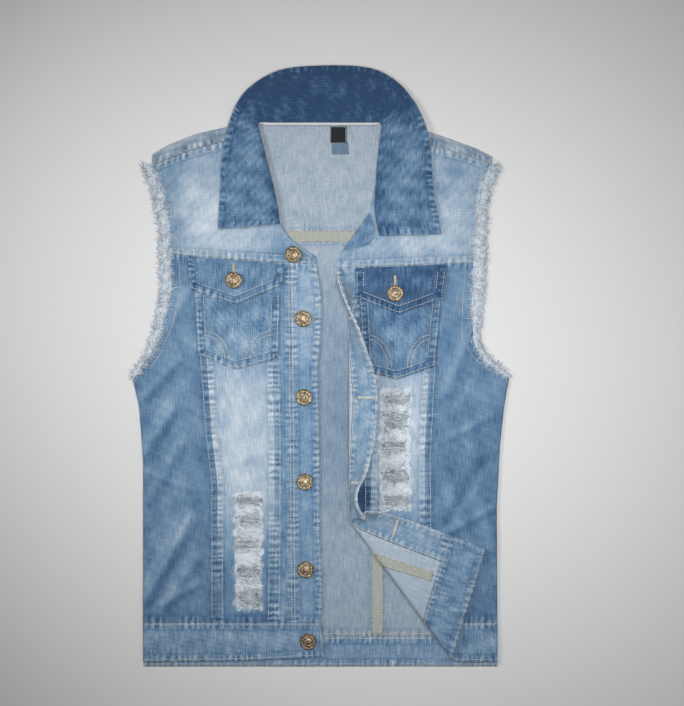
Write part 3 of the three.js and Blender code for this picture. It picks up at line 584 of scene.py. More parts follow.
lay_front("right", [
    ("front_yoke", along(ARMHOLE_RIGHT), along(NECK_RIGHT), yoke_seam_right, along(SHOULDER_SEAM_RIGHT),
     yoke_wash, CLOTH, 2, "bt", "denim_pale", one_face),
    ("front_side", side_right, seam_a, band_top, yoke_seam_right,
     side_wash, CLOTH, 2.5, "rbt", "denim_mid", one_face),
    ("front_panel", seam_a, seam_b, band_top, yoke_seam_right,
     centre_wash, CLOTH, 1.6, "lrbt", "denim_pale", one_face),
    ("front_inset", seam_b, placket_line, band_top, yoke_seam_right,
     trim_wash(0.5), CLOTH, 1.8, "lrbt", "denim_mid", one_face),
    ("placket", placket_line, edge_right, band_top, yoke_seam_right,
     placket_wash, DOUBLE, 1.8, "lrbt", "denim_mid", one_face),
    ("waistband", level(-215), edge_right, along(HEM_RIGHT), band_top,
     trim_wash(0.5), DOUBLE, 1.8, "bt", "denim_mid", band_faces),
], right_place, 2, 1.3)

# The wearer's left front is turned back: it bends up round a soft fold that runs down the chest and
# then slants to the hem. From there its inside shows, with its placket, a taped seam and the waistband.
FOLD_X, FOLD_Y = 36.9, -182.2
SLANT = (0.592, -0.806)
FOLD_TOP = 117      # above this the left front lies flat
BEND = 5.5          # radius of the fold
EDGE_LANDS = [(117, 17), (104, 17), (95, 20), (86, 23), (76, 27), (65, 32), (55, 37), (41, 43), (25, 49),
              (11, 54), (-1, 59), (-14, 62), (-27, 65), (-52, 66), (-79, 63), (-105, 58), (-129, 51),
              (-145, 41), (-153, 39), (-167, 40)]
TURN_PAST_CORNER = [(0, 130), (13, 155), (38, 175), (90, 182), (210, 184)]  # mm along the slant, degrees


def rolled(w, turn):
    """Where a point w past the fold goes: out = r sin, up = r (1 - cos), and then straight on."""
    angle = np.minimum(turn, w / BEND)
    rest = np.maximum(0, w - BEND * turn)
    out = BEND * np.sin(angle) + rest * np.cos(turn)
    up = BEND * (1 - np.cos(angle)) + rest * np.sin(turn)
    return out, up, angle


def turn_table():
    """The turn that lands the free edge on EDGE_LANDS at each height, found by halving, and eased."""
    y = np.arange(FOLD_TOP, FOLD_Y, -1.0)
    lands = along(EDGE_LANDS)(y)
    w = FOLD_X - along(EDGE_LEFT)(y)
    low, high = np.zeros(len(y)), np.full(len(y), math.pi)
    for _ in range(30):
        middle = (low + high) / 2
        short = FOLD_X - rolled(w, middle)[0] < lands
        low, high = np.where(short, middle, low), np.where(short, high, middle)
    last_y, last_turn = EDGE_LANDS[-1][0], math.radians(TURN_PAST_CORNER[0][1])
    below = np.interp(y, [FOLD_Y, last_y], [last_turn, low[y >= last_y][-1]])
    low = np.where(y < last_y, below, low)
    eased = np.convolve(np.pad(low, 6, mode="edge"), np.full(13, 1 / 13), "valid")
    return y[::-1], eased[::-1]


turn_y, turn_angle = turn_table()
turn_past = along(TURN_PAST_CORNER)


def left_place(x, y, h):
    """A point h above the underside of the left front after the turn: flat before the fold; past it,
    out and up from the fold's nearest point, with h along the turned cloth's normal."""
    dx, dy = SLANT
    px, py = x - FOLD_X, y - FOLD_Y
    along_slant = px * dx + py * dy
    behind = px * dy - py * dx
    above = py >= 0
    corner = ~above & (along_slant < 0) & (behind > 0)
    reach = np.maximum(np.hypot(px, py), 1e-6)
    w = np.where(above, -px, np.where(corner, reach, behind))
    cx = np.where(above | corner, FOLD_X, FOLD_X + along_slant * dx)
    cy = np.where(above, y, np.where(corner, FOLD_Y, FOLD_Y + along_slant * dy))
    nx = np.where(above, -1, np.where(corner, px / reach, dy))
    ny = np.where(above, 0, np.where(corner, py / reach, -dx))
    turn = np.where(above, np.interp(y, turn_y, turn_angle),
                    np.radians(turn_past(np.maximum(along_slant, 0))))
    turn = np.where(y > FOLD_TOP, 0, turn)
    out, up, angle = rolled(np.maximum(w, 0), turn)
    flat = out - h * np.sin(angle)
    bent = np.stack([cx + nx * flat, cy + ny * flat, front_under(cx, cy) + up + h * np.cos(angle)], -1)
    return np.where((w <= 0)[..., None], np.stack([x, y, front_under(x, y) + h], -1), bent)


seam_a_left, seam_b_left, edge_left = along(SEAM_A_LEFT), along(SEAM_B_LEFT), along(EDGE_LEFT)
side_left, yoke_seam_left = along(SIDE_LEFT), along(YOKE_SEAM_LEFT)


def placket_left_line(y):
    """The placket's inner seam: its width in from the free edge."""
    return edge_left(y) + PLACKET


def inset_wash_with_fold_shadow(x, y):
    """The left inset: as other double pieces, with painted shadow of the fold darkening the hollow under
    it.
    """
    # painted shadow: a dark patch in the hollow under the fold
    return trim_wash(0.5)(x, y) + blobs(x, y, 0, [(49, -160, 13, 20, -0.55)])


lay_front("left", [
    ("front_yoke", along(NECK_LEFT), along(ARMHOLE_LEFT), yoke_seam_left, along(SHOULDER_SEAM_LEFT),
     yoke_wash, CLOTH, 2, "bt", "denim_pale", one_face),
    ("front_side", seam_a_left, side_left, band_top, yoke_seam_left,
     side_wash, CLOTH, 2.5, "lbt", "denim_mid", one_face),
    ("front_panel", seam_b_left, seam_a_left, band_top, yoke_seam_left,
     centre_wash, CLOTH, 1.6, "lrbt", "denim_pale", one_face),
    ("front_inset", lambda y: placket_left_line(y) + GAP, seam_b_left, band_top, yoke_seam_left,
     inset_wash_with_fold_shadow, CLOTH, 1.8, "lrbt", "denim_mid", one_face),
    ("placket", edge_left, placket_left_line, band_top, yoke_seam_left,
     trim_wash(0.59), DOUBLE, 1.8, "lrbt", "denim_mid", both_faces),
    ("waistband", edge_left, level(210), level(HEM), band_top,
     trim_wash(0.46), DOUBLE, 1.8, "lbt", "denim_mid", trim_faces),
], left_place, 4, 1.1)


# The shoulders: the back yoke, of the same denim, is turned over the top of each shoulder and felled to
# the front yoke a finger's width down the front, so that the fold itself is at the outline.
def shoulder_strip(name, fold_table, seam_table, x0, x1):
    """A strip whose section starts on the back, goes round half a circle and lies on the front."""
    fold, seam = along(fold_table), along(seam_table)
    radius = read(lambda x: front_under(x, 260), -150) / 2
    u, v = np.meshgrid(np.linspace(x0, x1, 70), np.linspace(0, 1, 26))
    fold_y = fold(u) - radius
    angle = np.clip((v - 0.2) / 0.4, 0, 1) * math.pi
    down = np.clip((v - 0.6) / 0.4, 0, 1) * (fold_y - seam(u) - 3 * GAP)
    before = 8 * np.clip(1 - v / 0.2, 0, 1)
    run = 9 * v + down
    rise, pale = seam_work(np.maximum(0, fold_y - seam(u) - down), u, 3.3)
    layers = []
    for h in (0, CLOTH):
        extra = (rise * 0.7 if h else 0) * (v > 0.6)
        reach = radius - (h - CLOTH / 2)
        y = np.where(v < 0.2, fold_y - before, fold_y + reach * np.sin(angle) - down)
        z = np.where(v < 0.2, h, radius + CLOTH / 2 - reach * np.cos(angle)) + extra
        layers.append(np.stack([u, y, z], -1))
    washed = 0.58 + 0.12 * ripple(u, run, 1.9) + pale + 0.12 * np.exp(-((v - 0.45) / 0.15) ** 2)
    piece = wall_mesh(name, *layers, np.stack([u, run], -1), None, washed,
                      (denim_face, denim_inside, denim_edge))
    settle(piece, ["back_yoke"])


shoulder_strip("cloth_shoulder_right", SHOULDER_FOLD_RIGHT, SHOULDER_SEAM_RIGHT, -204, -82)
shoulder_strip("cloth_shoulder_left", SHOULDER_FOLD_LEFT, SHOULDER_SEAM_LEFT, 77, 203)

# The end of the neck facing: a strip of denim sewn along the neck, which rolls out over the left yoke
# below the collar, its serged edge free.
FACING_ROLL = [(0, 56, 182), (1, 25, 139.5)]
FACING_EDGE = [(0, 61, 168), (0.3, 65, 152), (0.55, 59, 144), (0.8, 44, 140.5), (1, 27, 137.5)]


def column(rows, k):
    """Column k of a table against its first column."""
    return along([(row[0], row[k]) for row in rows])


u, v = np.meshgrid(np.linspace(0, 1, 26), np.linspace(1, 0, 36))
facing_x = column(FACING_ROLL, 1)(v) * (1 - u) + column(FACING_EDGE, 1)(v) * u
facing_y = column(FACING_ROLL, 2)(v) * (1 - u) + column(FACING_EDGE, 2)(v) * u
facing_z = front_under(facing_x, facing_y) + CLOTH + 0.4 + 1.2 * np.sin(math.pi * u)
facing_pale = 0.4 + 0.1 * ripple(facing_x * 2, facing_y * 2, 6) + 0.5 * np.exp(-((1 - u) / 0.06) ** 2)
layers = [flat_place(facing_x, facing_y, facing_z + h) for h in (0, CLOTH)]
piece = wall_mesh("cloth_neck_facing_left", *layers, np.stack([facing_x, facing_y], -1), None, facing_pale,
                  both_faces)
settle(piece, ["neck_facing_left"])

# The chest pockets: a patch with a pointed foot, topstitched twice round and with two plain arcs, under
# a pointed flap of double cloth that a button closes.
POCKET_LIFT = DOUBLE + GAP
PATCH = 1.3
FLAP_LIFT = POCKET_LIFT + PATCH + GAP
POCKETS = {  # left and right edges and foot of the patch, then of the flap, and the two blues, the left's with painted shade
    "right": ([(-6, -149), (13, -149), (110, -153)], [(-6, -53), (9, -53), (110, -50)],
              [(-149, 13), (-104, -5), (-53, 9)],
              [(80, -157), (125, -161)], [(80, -48), (125, -47)],
              [(-157, 91), (-104, 73), (-48, 97)], 0.44, 0.38),
    "left": ([(-6, 48), (110, 43)], [(-1, 134), (77, 142), (110, 143)],
             [(48, -6), (89, -17), (134, -1)],
             [(60, 39.5), (125, 39.5)], [(60, 142), (125, 149)],
             # the left pocket's two blues are darkened by painted shadow of the turned placket
             [(39, 82), (91, 61), (143, 80)], 0.33, 0.14),
}
for order, (side, spec) in enumerate(POCKETS.items()):
    left, right, foot, flap_left, flap_right, flap_foot = [along(table) for table in spec[:6]]
    patch_blue_and_shade, flap_blue_and_shade = spec[6:]
    seam = yoke_seam_right if side == "right" else yoke_seam_left

    def patch_wash(x, y):
        """A patch: paler in its middle, bluer under the flap."""
        rows = [(x.mean(), 26, 20, 24, 0.12), (x.mean(), 75, 60, 22, -0.08)]
        return blobs(x, y, patch_blue_and_shade, rows) + 0.1 * ripple(x * 1.4, y * 1.4, 7)

    piece, size, area = cloth("cloth_pocket_" + side, left, right, foot, level(108), patch_wash,
                              PATCH, 1.7, right_place, POCKET_LIFT, seams="lrb", seed=order + 8.0,
                              relief=0.8, materials=trim_faces)
    settle(piece, ["pocket_" + side])
    piece, size, area = cloth("cloth_pocket_flap_" + side, flap_left, flap_right, flap_foot,
                              lambda x: seam(x) - 1.5,
                              lambda x, y: flap_blue_and_shade + 0.08 * ripple(x * 1.4, y * 1.4, 3.1),
                              DOUBLE - 0.2, 1.5, right_place, FLAP_LIFT, seams="lrb", seed=order + 9.5,
                              materials=trim_faces)
    settle(piece, ["pocket_flap_" + side])

# The collar: one double piece of denim, sewn to the neck. On the fronts it rolls over from the neck
# seam and lies down in a long point. At the back of the neck it lies open and is darker: partly its
# less washed side, partly painted shade.
COLLAR = [  # outer edge x, y, then roll or neck seam x, y, and how far it is rolled over on the front
    (-125, 163, -51, 170, 1), (-123, 200, -54, 194, 1), (-122, 227, -61, 225, 1), (-120, 251, -68, 251, 1),
    (-115, 279, -73, 275, 0.8), (-108, 303, -77, 286, 0.5), (-98, 322, -76, 291, 0.2),
    (-82, 338, -70, 291, 0), (-62, 350, -55, 291, 0), (-40, 357, -37, 291, 0), (-8, 359, -11, 291, 0),
    (32, 359, 27, 291, 0), (56, 357, 47, 291, 0), (76, 349, 60, 291, 0), (92, 338, 66, 291, 0),
    (106, 322, 69, 290, 0.2), (118, 303, 70, 286, 0.5), (125, 283, 69, 275, 0.8), (130, 259, 67, 257, 1),
    (131, 227, 65, 232, 1), (134, 200, 63, 207, 1), (139, 176, 62, 185, 1), (142, 157, 68, 155, 1),
]
COLLAR_SECTION = [  # mm out from the roll, share of the width, height; then out and height at the back
    (12, 0, 5.4, 0, 4.9), (4, 0, 5.6, 1.5, 5), (0, 0, 8.4, 4, 5.4), (4, 0, 11, 9, 6.2),
    (0, 0.35, 11.3, 22, 7.6), (0, 0.7, 9.8, 44, 7.6), (0, 1, 7.6, 66, 5.4),
]
COLLAR_STEPS = (290, 46)  # along the collar, across it
BACK_WIDTH = 66           # the collar's width at the back, for which the last two columns hold


def eased_rows(table, samples, window):
    """A table's columns against the row number, by straight lines averaged over window samples."""
    rows = np.array(table, float)
    at = np.linspace(0, len(rows) - 1, samples)
    out = []
    for k in range(rows.shape[1]):
        line = np.interp(at, np.arange(len(rows)), rows[:, k])
        ends = np.pad(line, window // 2, mode="reflect", reflect_type="odd")
        out.append(np.convolve(ends, np.full(window, 1 / window), "valid")[:samples])
    return out


ox, oy, ix, iy, rolled_front = [c[::-1, None] for c in eased_rows(COLLAR, COLLAR_STEPS[0], 15)]
section = [c[None, :] for c in eased_rows(COLLAR_SECTION, COLLAR_STEPS[1], 7)]
out_mm, share, height_mm, out_back, height_back = section
leaf = np.hypot(ox - ix, oy - iy)
out_x, out_y = (ox - ix) / leaf, (oy - iy) / leaf
reach = (out_back / BACK_WIDTH * leaf) * (1 - rolled_front) + (out_mm + share * leaf) * rolled_front
rise = height_back * (1 - rolled_front) + height_mm * rolled_front
collar_mid = np.stack([ix + out_x * reach, iy + out_y * reach, rise], -1)
edge_steps = np.linalg.norm(np.diff(collar_mid[:, -1], axis=0), axis=1)
collar_run = np.concatenate([[0], np.cumsum(edge_steps)])[:, None]
from_edge = leaf - reach
is_leaf = smooth((np.arange(COLLAR_STEPS[1])[None, :] - 19) / 4)
end_gap = np.minimum(collar_run, collar_run[-1] - collar_run)
edge_rise, edge_pale = seam_work(np.maximum(from_edge, 0), collar_run, 2.2)
end_rise, end_pale = seam_work(end_gap + 0 * from_edge, from_edge, 4.1)
creases = 0.8 * np.exp(-((collar_run - 0.27 * collar_run[-1] - 0.3 * from_edge) / 7) ** 2)
creases = creases + 0.8 * np.exp(-((collar_run - 0.72 * collar_run[-1] + 0.3 * from_edge) / 7) ** 2)
collar_relief = is_leaf * (0.8 * edge_rise + 0.6 * end_rise + 0.6 * ripple(collar_run, from_edge, 5.0)
                           + 0.3 * ripple(collar_run * 2.2, from_edge * 2.2, 1.0)) - creases * is_leaf
normal = np.cross(np.gradient(collar_mid, axis=1), np.gradient(collar_mid, axis=0))
normal /= np.linalg.norm(normal, axis=-1, keepdims=True)
# darker at the back of the neck: partly less washed cloth, partly painted shade
collar_blue = -0.02 + 0.31 * smooth(rolled_front * 1.3)
collar_blue = collar_blue + 0.12 * ripple(collar_run * 1.1, from_edge * 1.1, 0.9)
collar_blue = collar_blue + is_leaf * (edge_pale + end_pale * 0.9)
collar_blue = collar_blue + 0.08 * np.exp(-((from_edge - 30) / 18) ** 2) * rolled_front
# painted shade along the roll on the fronts, where the collar turns over
collar_blue = collar_blue - 0.12 * np.exp(-((leaf - from_edge) / 9) ** 2) * rolled_front
collar_piece = wall_mesh("cloth_collar", collar_mid - normal * DOUBLE / 2,
                         collar_mid + normal * (DOUBLE / 2 + collar_relief[..., None]),
                         np.stack([reach + 0 * collar_run, collar_run + 0 * reach], -1), None,
                         collar_blue, trim_faces)
settle(collar_piece, ["collar"])

# The sewing: pale cotton topstitching in short raised stitches, a pair of rows on every felled seam,
# round the pockets, flaps, collar, placket and waistband, and rows of serging where the inside shows.
STITCH = 3.3        # mm from one stitch to the next
STITCH_FILL = 0.74  # share of that which the thread covers
THREAD = 0.46       # mm, half the thread's thickness


def two_tone(tree, value, low, high, ends=(0, 1)):
    """A colour ramp from low to high between two values."""
    ramp = node(tree, "ShaderNodeValToRGB", {0: value})
    for stop, at, colour in zip(ramp.color_ramp.elements, ends, (low, high)):
        stop.position = at
        stop.color = (*colour, 1)
    return ramp.outputs[0]


def thread_material(name, colour, fuzz):
    """Cotton thread: one colour, darker in places by fuzz, with a fine bump for its plies."""
    material, tree, shader = new_material(name, 0.8)
    shader.inputs["Sheen Weight"].default_value = 0.2
    where = node(tree, "ShaderNodeTexCoord").outputs["Object"]
    dark = [c * (1 - fuzz) for c in colour]
    tone = two_tone(tree, noise(tree, where, 240, 3), dark, colour, (0.32, 0.68))
    tree.links.new(tone, shader.inputs["Base Color"])
    bumped(tree, shader, noise(tree, where, 1500, 1), 0.4, 0.0002)
    return material


topstitch_thread = thread_material("topstitch_thread", (0.60, 0.60, 0.57), 0.35)
serging_thread = thread_material("serging_thread", (0.56, 0.55, 0.50), 0.3)
white_thread = thread_material("white_weft", (0.69, 0.74, 0.785), 0.3)
blue_thread = thread_material("blue_warp", (0.24, 0.33, 0.44), 0.45)
torn_thread = thread_material("torn_warp", (0.34, 0.47, 0.53), 0.5)


def tubes(name, paths, radii, material, sides=4):
    """Many closed tubes in one mesh: a ring r (cos a, sin a) across each path at each of its points."""
    count, rings = paths.shape[:2]
    ahead = np.gradient(paths, axis=1)
    ahead /= np.maximum(np.linalg.norm(ahead, axis=-1, keepdims=True), 1e-9)
    helper = np.where(np.abs(ahead[..., 2:]) > 0.9, [1.0, 0, 0], [0, 0, 1.0])
    side = np.cross(ahead, helper)
    side /= np.linalg.norm(side, axis=-1, keepdims=True)
    up = np.cross(side, ahead)
    angle = 2 * math.pi * np.arange(sides) / sides
    ring = side[:, :, None] * np.cos(angle)[:, None] + up[:, :, None] * np.sin(angle)[:, None]
    points = paths[:, :, None] + ring * radii[:, :, None, None]
    index = np.arange(count * rings * sides).reshape(count, rings, sides)
    here, there = index[:, :-1], index[:, 1:]
    quads = np.stack([here, np.roll(here, -1, 2), np.roll(there, -1, 2), there], -1).reshape(-1, 4)
    caps = np.concatenate([index[:, 0, ::-1], index[:, -1]])
    mesh = bpy.data.meshes.new(name)
    mesh.from_pydata((points.reshape(-1, 3) / 1000).tolist(), [], quads.tolist() + caps.tolist())
    mesh.polygons.foreach_set("use_smooth", np.ones(len(mesh.polygons), bool))
    mesh.validate()
    piece = placed(name, mesh, [material])
    settle(piece)
    return piece


def resample(path, pitch):
    """Points a pitch apart along a line of points."""
    run = np.concatenate([[0], np.cumsum(np.linalg.norm(np.diff(path, axis=0), axis=1))])
    at = np.linspace(0, run[-1], max(2, round(run[-1] / pitch) + 1))
    return np.stack([np.interp(at, run, path[:, k]) for k in range(path.shape[1])], -1)


def sew(name, rows, material=topstitch_thread):
    """Stitches along rows of (points, place, height): each dips in at its ends and stands up between."""
    stitches = []
    for path, place, height in rows:
        fine = resample(np.asarray(path, float), STITCH)
        start, end = fine[:-1], fine[:-1] + (fine[1:] - fine[:-1]) * STITCH_FILL
        for share, lift in ((0, -0.25), (0.2, 0.16), (0.8, 0.16), (1, -0.25)):
            at = start + (end - start) * share
            away = 1 if height > 0 else -1
            stitches.append(place(at[:, 0], at[:, 1], height + away * lift))
    groups = [np.stack(stitches[k:k + 4], 1) for k in range(0, len(stitches), 4)]
    paths = np.concatenate(groups)
    radii = np.tile([THREAD * 0.6, THREAD, THREAD, THREAD * 0.6], (len(paths), 1))
    return tubes(name, paths, radii, material)


def down_seam(line, off, top, bottom):
    """A row beside a seam that runs down the garment."""
    y = np.arange(top, bottom, -3.0)
    return np.stack([line(y) + off, y], -1)


def across_seam(line, off, x0, x1):
    """A row beside a seam that runs across the garment."""
    x = np.arange(x0, x1, 3.0)
    return np.stack([x, line(x) + off], -1)


def on(paths, place, height):
    """The same place and height for several rows."""
    return [(path, place, height) for path in paths]


ON = CLOTH + 0.3
ON_DOUBLE = DOUBLE + 0.3
armhole_right = along(ARMHOLE_RIGHT[:-1] + SIDE_RIGHT[4:5])
armhole_left = along(ARMHOLE_LEFT[:-1] + SIDE_LEFT[4:5])
shoulder_right, shoulder_left = along(SHOULDER_SEAM_RIGHT), along(SHOULDER_SEAM_LEFT)
single = [down_seam(placket_line, -2.4, 118, -306), down_seam(armhole_right, 13, 235, -8),
          down_seam(along(NECK_RIGHT), -4, 168, 126)]
double = [down_seam(edge_right, -2.5, 118, -306), down_seam(placket_line, 1.6, 118, -306),
          across_seam(band_top, -2.4, -213, 0), across_seam(along(HEM_RIGHT), 2.8, -213, 0),
          down_seam(edge_right, -3, -311, -350)]
turned = []
yoke_left = [down_seam(armhole_left, -13, 234, -8)]
for off in (-FELL + 0.6, FELL - 0.8):
    single += [down_seam(seam_a, off, 126, -306), down_seam(seam_b, off, 122, -306)]
    turned += [down_seam(seam_a_left, off, 118, -306), down_seam(seam_b_left, off, 112, -306)]
for off in (2.2, 7.5):
    single += [across_seam(yoke_seam_right, off, -184, -10), across_seam(shoulder_right, -off, -200, -122)]
    yoke_left += [across_seam(yoke_seam_left, off, 24, 183), across_seam(shoulder_left, -off, 134, 200)]
sew("stitching_front_right", on(single, right_place, ON) + on(double, right_place, ON_DOUBLE))
double = [down_seam(edge_left, 2.5, 114, -306), down_seam(placket_left_line, -1.8, 112, -306),
          across_seam(band_top, -2.4, 11, 208), across_seam(level(HEM), 2.8, 13, 208),
          down_seam(edge_left, 3, -311, -352)]
sew("stitching_front_left", on(turned, left_place, ON) + on(yoke_left, right_place, ON)
    + on(double, left_place, ON_DOUBLE) + on(double, left_place, -0.3))

# Two rows of stitches round each pocket and flap, and the arcs across the patch: a plain quarter oval
# from each side, worked out from the pocket's own width and depth.
warm_thread = thread_material("warm_topstitch", (0.66, 0.58, 0.42), 0.25)
ON_PATCH = POCKET_LIFT + PATCH + 0.25
patch_rows, flap_rows, arcs = [], [], []
for side, spec in POCKETS.items():
    left, right, foot, flap_left, flap_right, flap_foot = [along(table) for table in spec[:6]]
    x0, x1 = read(left, 10), read(right, 10)
    flap_x0, flap_x1 = read(flap_left, 90), read(flap_right, 90)
    for off in (1.9, 9.6):
        patch_rows += [down_seam(left, off, 84, read(foot, x0) + off),
                       down_seam(right, -off, 84, read(foot, x1) + off),
                       across_seam(foot, off + 0.8, x0 + off, x1 - off)]
        flap_rows += [across_seam(flap_foot, off + 0.6, flap_x0 + off, flap_x1 - off),
                      down_seam(flap_left, off, 112, read(flap_foot, flap_x0) + off),
                      down_seam(flap_right, -off, 112, read(flap_foot, flap_x1) + off)]
    tip = spec[2][1][1]
    width = read(right, 40) - read(left, 40)
    depth = 72 - tip
    for towards, edge in ((1, read(left, 40)), (-1, read(right, 40))):
        for off in (0, 5):
            t = np.linspace(0.05, math.pi / 2, 24)
            arc_x = edge + towards * (9 + (0.30 * width - off) * np.sin(t))
            arc_y = tip + 0.16 * depth + (0.44 * depth - off) * np.cos(t)
            arcs.append(np.stack([arc_x, arc_y], -1))
sew("stitching_pockets", on(patch_rows, right_place, ON_PATCH)
    + on(flap_rows, right_place, FLAP_LIFT + DOUBLE))
sew("stitching_pocket_arcs", on(arcs, right_place, ON_PATCH), warm_thread)

# Where the panels are torn only the white weft is left: loose level yarns over the whole column, still
# woven in at both sides. They are sunk and uneven in the holes and lie on the cloth between them. Short
# curled ends and knots of torn warp, blue and white, are caught along the edges of the holes.
random = np.random.default_rng(7)
WEFT_PITCH = 0.62  # mm from one loose yarn to the next
TORN_ENDS = 110    # curled ends round each hole
KNOTS = 150        # of each colour on each front


def curls(start, towards, length, rise, curl, points=6):
    """Fibres: each runs its length from a point, turning by curl and rising or sagging by rise."""
    share = np.linspace(0, 1, points)[None, :]
    turn = towards[:, None] + curl[:, None] * share * (1 + 0.4 * np.sin(5 * share + towards[:, None] * 3))
    step = length[:, None] / (points - 1)
    still = np.zeros((len(start), 1))
    x = start[:, 0:1] + np.concatenate([still, np.cumsum(np.cos(turn[:, 1:]) * step, 1)], 1)
    y = start[:, 1:2] + np.concatenate([still, np.cumsum(np.sin(turn[:, 1:]) * step, 1)], 1)
    z = start[:, 2:3] + rise[:, None] * np.sin(math.pi * 0.75 * share)
    return np.stack([x, y, z], -1)


def hairs(name, fibres, thick, thin, material, much=1):
    """Fibres as threads that taper from thick to thin, times much."""
    radii = np.linspace(thick, thin, fibres.shape[1]) * much + 0 * fibres[..., 0]
    return tubes(name, fibres, radii, material, 3)


for side, (x0, x1, windows) in RIPS.items():
    place = right_place if side == "right" else left_place
    inside_hole = torn(side)
    levels = np.arange(windows[0][0] + 4, windows[-1][1] - 4, -WEFT_PITCH)
    count = len(levels)
    share = np.linspace(0, 1, 14)[None, :]
    ends = random.uniform(-2, 2, (2, count)) + 4 * ripple(levels * 1.4, np.array([[0.0], [60.0]]), 5.0)
    x = (x0 + 1 + ends[0])[:, None] * (1 - share) + (x1 - 1 + ends[1])[:, None] * share
    y = levels[:, None] + random.uniform(-0.7, 0.7, (count, 1))
    y = y + 0.9 * ripple(x * 2.2, 0 * x + levels[:, None] * 3, 1.7)
    sunk = inside_hole(x, y)
    sag = random.uniform(0, 1, (count, 1)) ** 2 * 1.6
    h = np.where(sunk, CLOTH - 0.5 - sag * np.sin(math.pi * share),
                 CLOTH + 0.22 + 0.25 * np.sin(9 * share + levels[:, None]))
    wide = np.pad(h, ((0, 0), (1, 1)), mode="edge")
    h = (wide[:, :-2] + h + wide[:, 2:]) / 3
    thick = random.uniform(0.26, 0.5, (count, 1)) * (1 - 0.5 * np.abs(2 * share - 1) ** 6)
    radii = np.where(sunk, thick * random.uniform(0.35, 1, (count, 1)), thick)
    weft = tubes("weft_" + side, place(x, y, h), radii, white_thread)
    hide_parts("rip_weft_" + side)
    starts = []
    towards = []
    for top, bottom in windows:
        for _ in range(TORN_ENDS):
            if random.random() < 0.55:
                px = random.choice([x0, x1]) + random.normal(0, 1.6)
                py = random.uniform(bottom, top)
            else:
                px = random.uniform(x0, x1)
                py = random.choice([top, bottom]) + random.normal(0, 1.2)
            starts.append((px, py))
            towards.append(random.uniform(-math.pi, math.pi))
    starts = np.array(starts)
    base = place(starts[:, 0], starts[:, 1], CLOTH + 0.25 + 0 * starts[:, 0])
    n = len(starts)
    fibres = curls(base, np.array(towards), random.uniform(2.5, 7, n), random.uniform(0.1, 0.9, n),
                   random.uniform(-3.5, 3.5, n))
    hairs("torn_ends_" + side, fibres, 0.22, 0.09, white_thread)
    n = KNOTS
    for colour, material in (("blue", torn_thread), ("white", white_thread)):
        row = np.array(windows, float)[random.integers(0, 5, n)]
        x = random.uniform(x0 + 1, x1 - 1, n)
        y = row[:, 0] + (row[:, 1] - row[:, 0]) * random.choice([-0.1, 0.1, 0.9, 1.1], n)
        y = y + random.normal(0, 0.8, n)
        base = place(x, y, CLOTH + 0.4 + 0 * x)
        knots = curls(base, random.uniform(-math.pi, math.pi, n), random.uniform(6, 14, n),
                      random.uniform(0.3, 1.5, n), random.uniform(-9, 9, n), 9)
        hairs("torn_%s_warp_%s" % (colour, side), knots, 0.4, 0.14, material)

# The raw armholes: the cut edge isn't hemmed, so it has frayed to a matted fringe of pale weft and a
# little blue warp, still held in a ragged strip of loosened cloth. Most of its curls lie along the
# edge, and few reach past it.
FRAY_WIDTH = [(239, 15), (200, 15), (150, 14), (100, 15), (56, 13), (20, 9), (-12, 6)]
FRINGE_CURLS = 2700  # in each armhole
fray_width = along(FRAY_WIDTH)
fringe_mat = denim_material("fringe_mat", shift=0.15, contrast=0.9, mottle=1.9)


def armhole_tangent(edge, y):
    """Direction along the armhole, from dx/dy of its edge."""
    slope = (edge(y + 2) - edge(y - 2)) / 4
    return np.arctan2(np.ones_like(slope), slope)


for side, table in (("right", ARMHOLE_RIGHT), ("left", ARMHOLE_LEFT)):
    edge = along(table)
    out = -1 if side == "right" else 1
    low, high = table[-1][0] + 1, table[0][0] + 1
    v, u = np.meshgrid(np.linspace(low, high, 270), np.linspace(0, 1, 12), indexing="ij")
    width = fray_width(v) * (0.86 + 0.1 * ripple(v * 2.3, 0 * v, 0.6 * out)
                             + 0.08 * ripple(v * 6, 0 * v, 2.0))
    x = edge(v) + out * (-4 + u * (width + 4))
    heap = 1.6 * np.sin(math.pi * np.clip(u * 1.05, 0, 1)) ** 0.7
    heap = heap + 0.35 * ripple(x * 3.4, v * 3.4, 3.1) * (0.2 + u)
    under = np.stack([x, v, 2.0 - 1.6 * u], -1)
    over = np.stack([x, v, np.maximum(2.0 - 1.6 * u + 0.4, 3.6 - 2.6 * u ** 3 + heap)], -1)
    washed = 0.8 + 0.16 * ripple(x * 4, v * 4, 4.4) + 0.12 * u
    mat = wall_mesh("fringe_mat_" + side, under[:, ::-out], over[:, ::-out],
                    np.stack([x, v], -1)[:, ::-out], None, washed[:, ::-out], [fringe_mat] * 3)
    settle(mat, ["armhole_fray_" + side])
    n = FRINGE_CURLS
    y = random.uniform(low, high, n)
    share = random.beta(1.3, 1.0, n)
    width = fray_width(y)
    start_x = edge(y) + out * (share * (width - 1.5) - 3.5)
    start_z = 4.2 - 1.8 * share ** 2 + random.uniform(-0.4, 1.2, n)
    towards = armhole_tangent(edge, y) + random.choice([0.0, math.pi], n) + random.normal(0, 0.75, n)
    length = random.uniform(4, 11, n)
    fibres = curls(np.stack([start_x, y, start_z], -1), towards, length, random.uniform(-0.6, 1.4, n),
                   random.uniform(-3.4, 3.4, n))
    much = random.uniform(0.7, 1.3, (n, 1))
    white = random.random(n) < 0.8
    hairs("fringe_white_" + side, fibres[white], 0.36, 0.12, white_thread, much[white])
    hairs("fringe_blue_" + side, fibres[~white], 0.36, 0.12, blue_thread, much[~white])

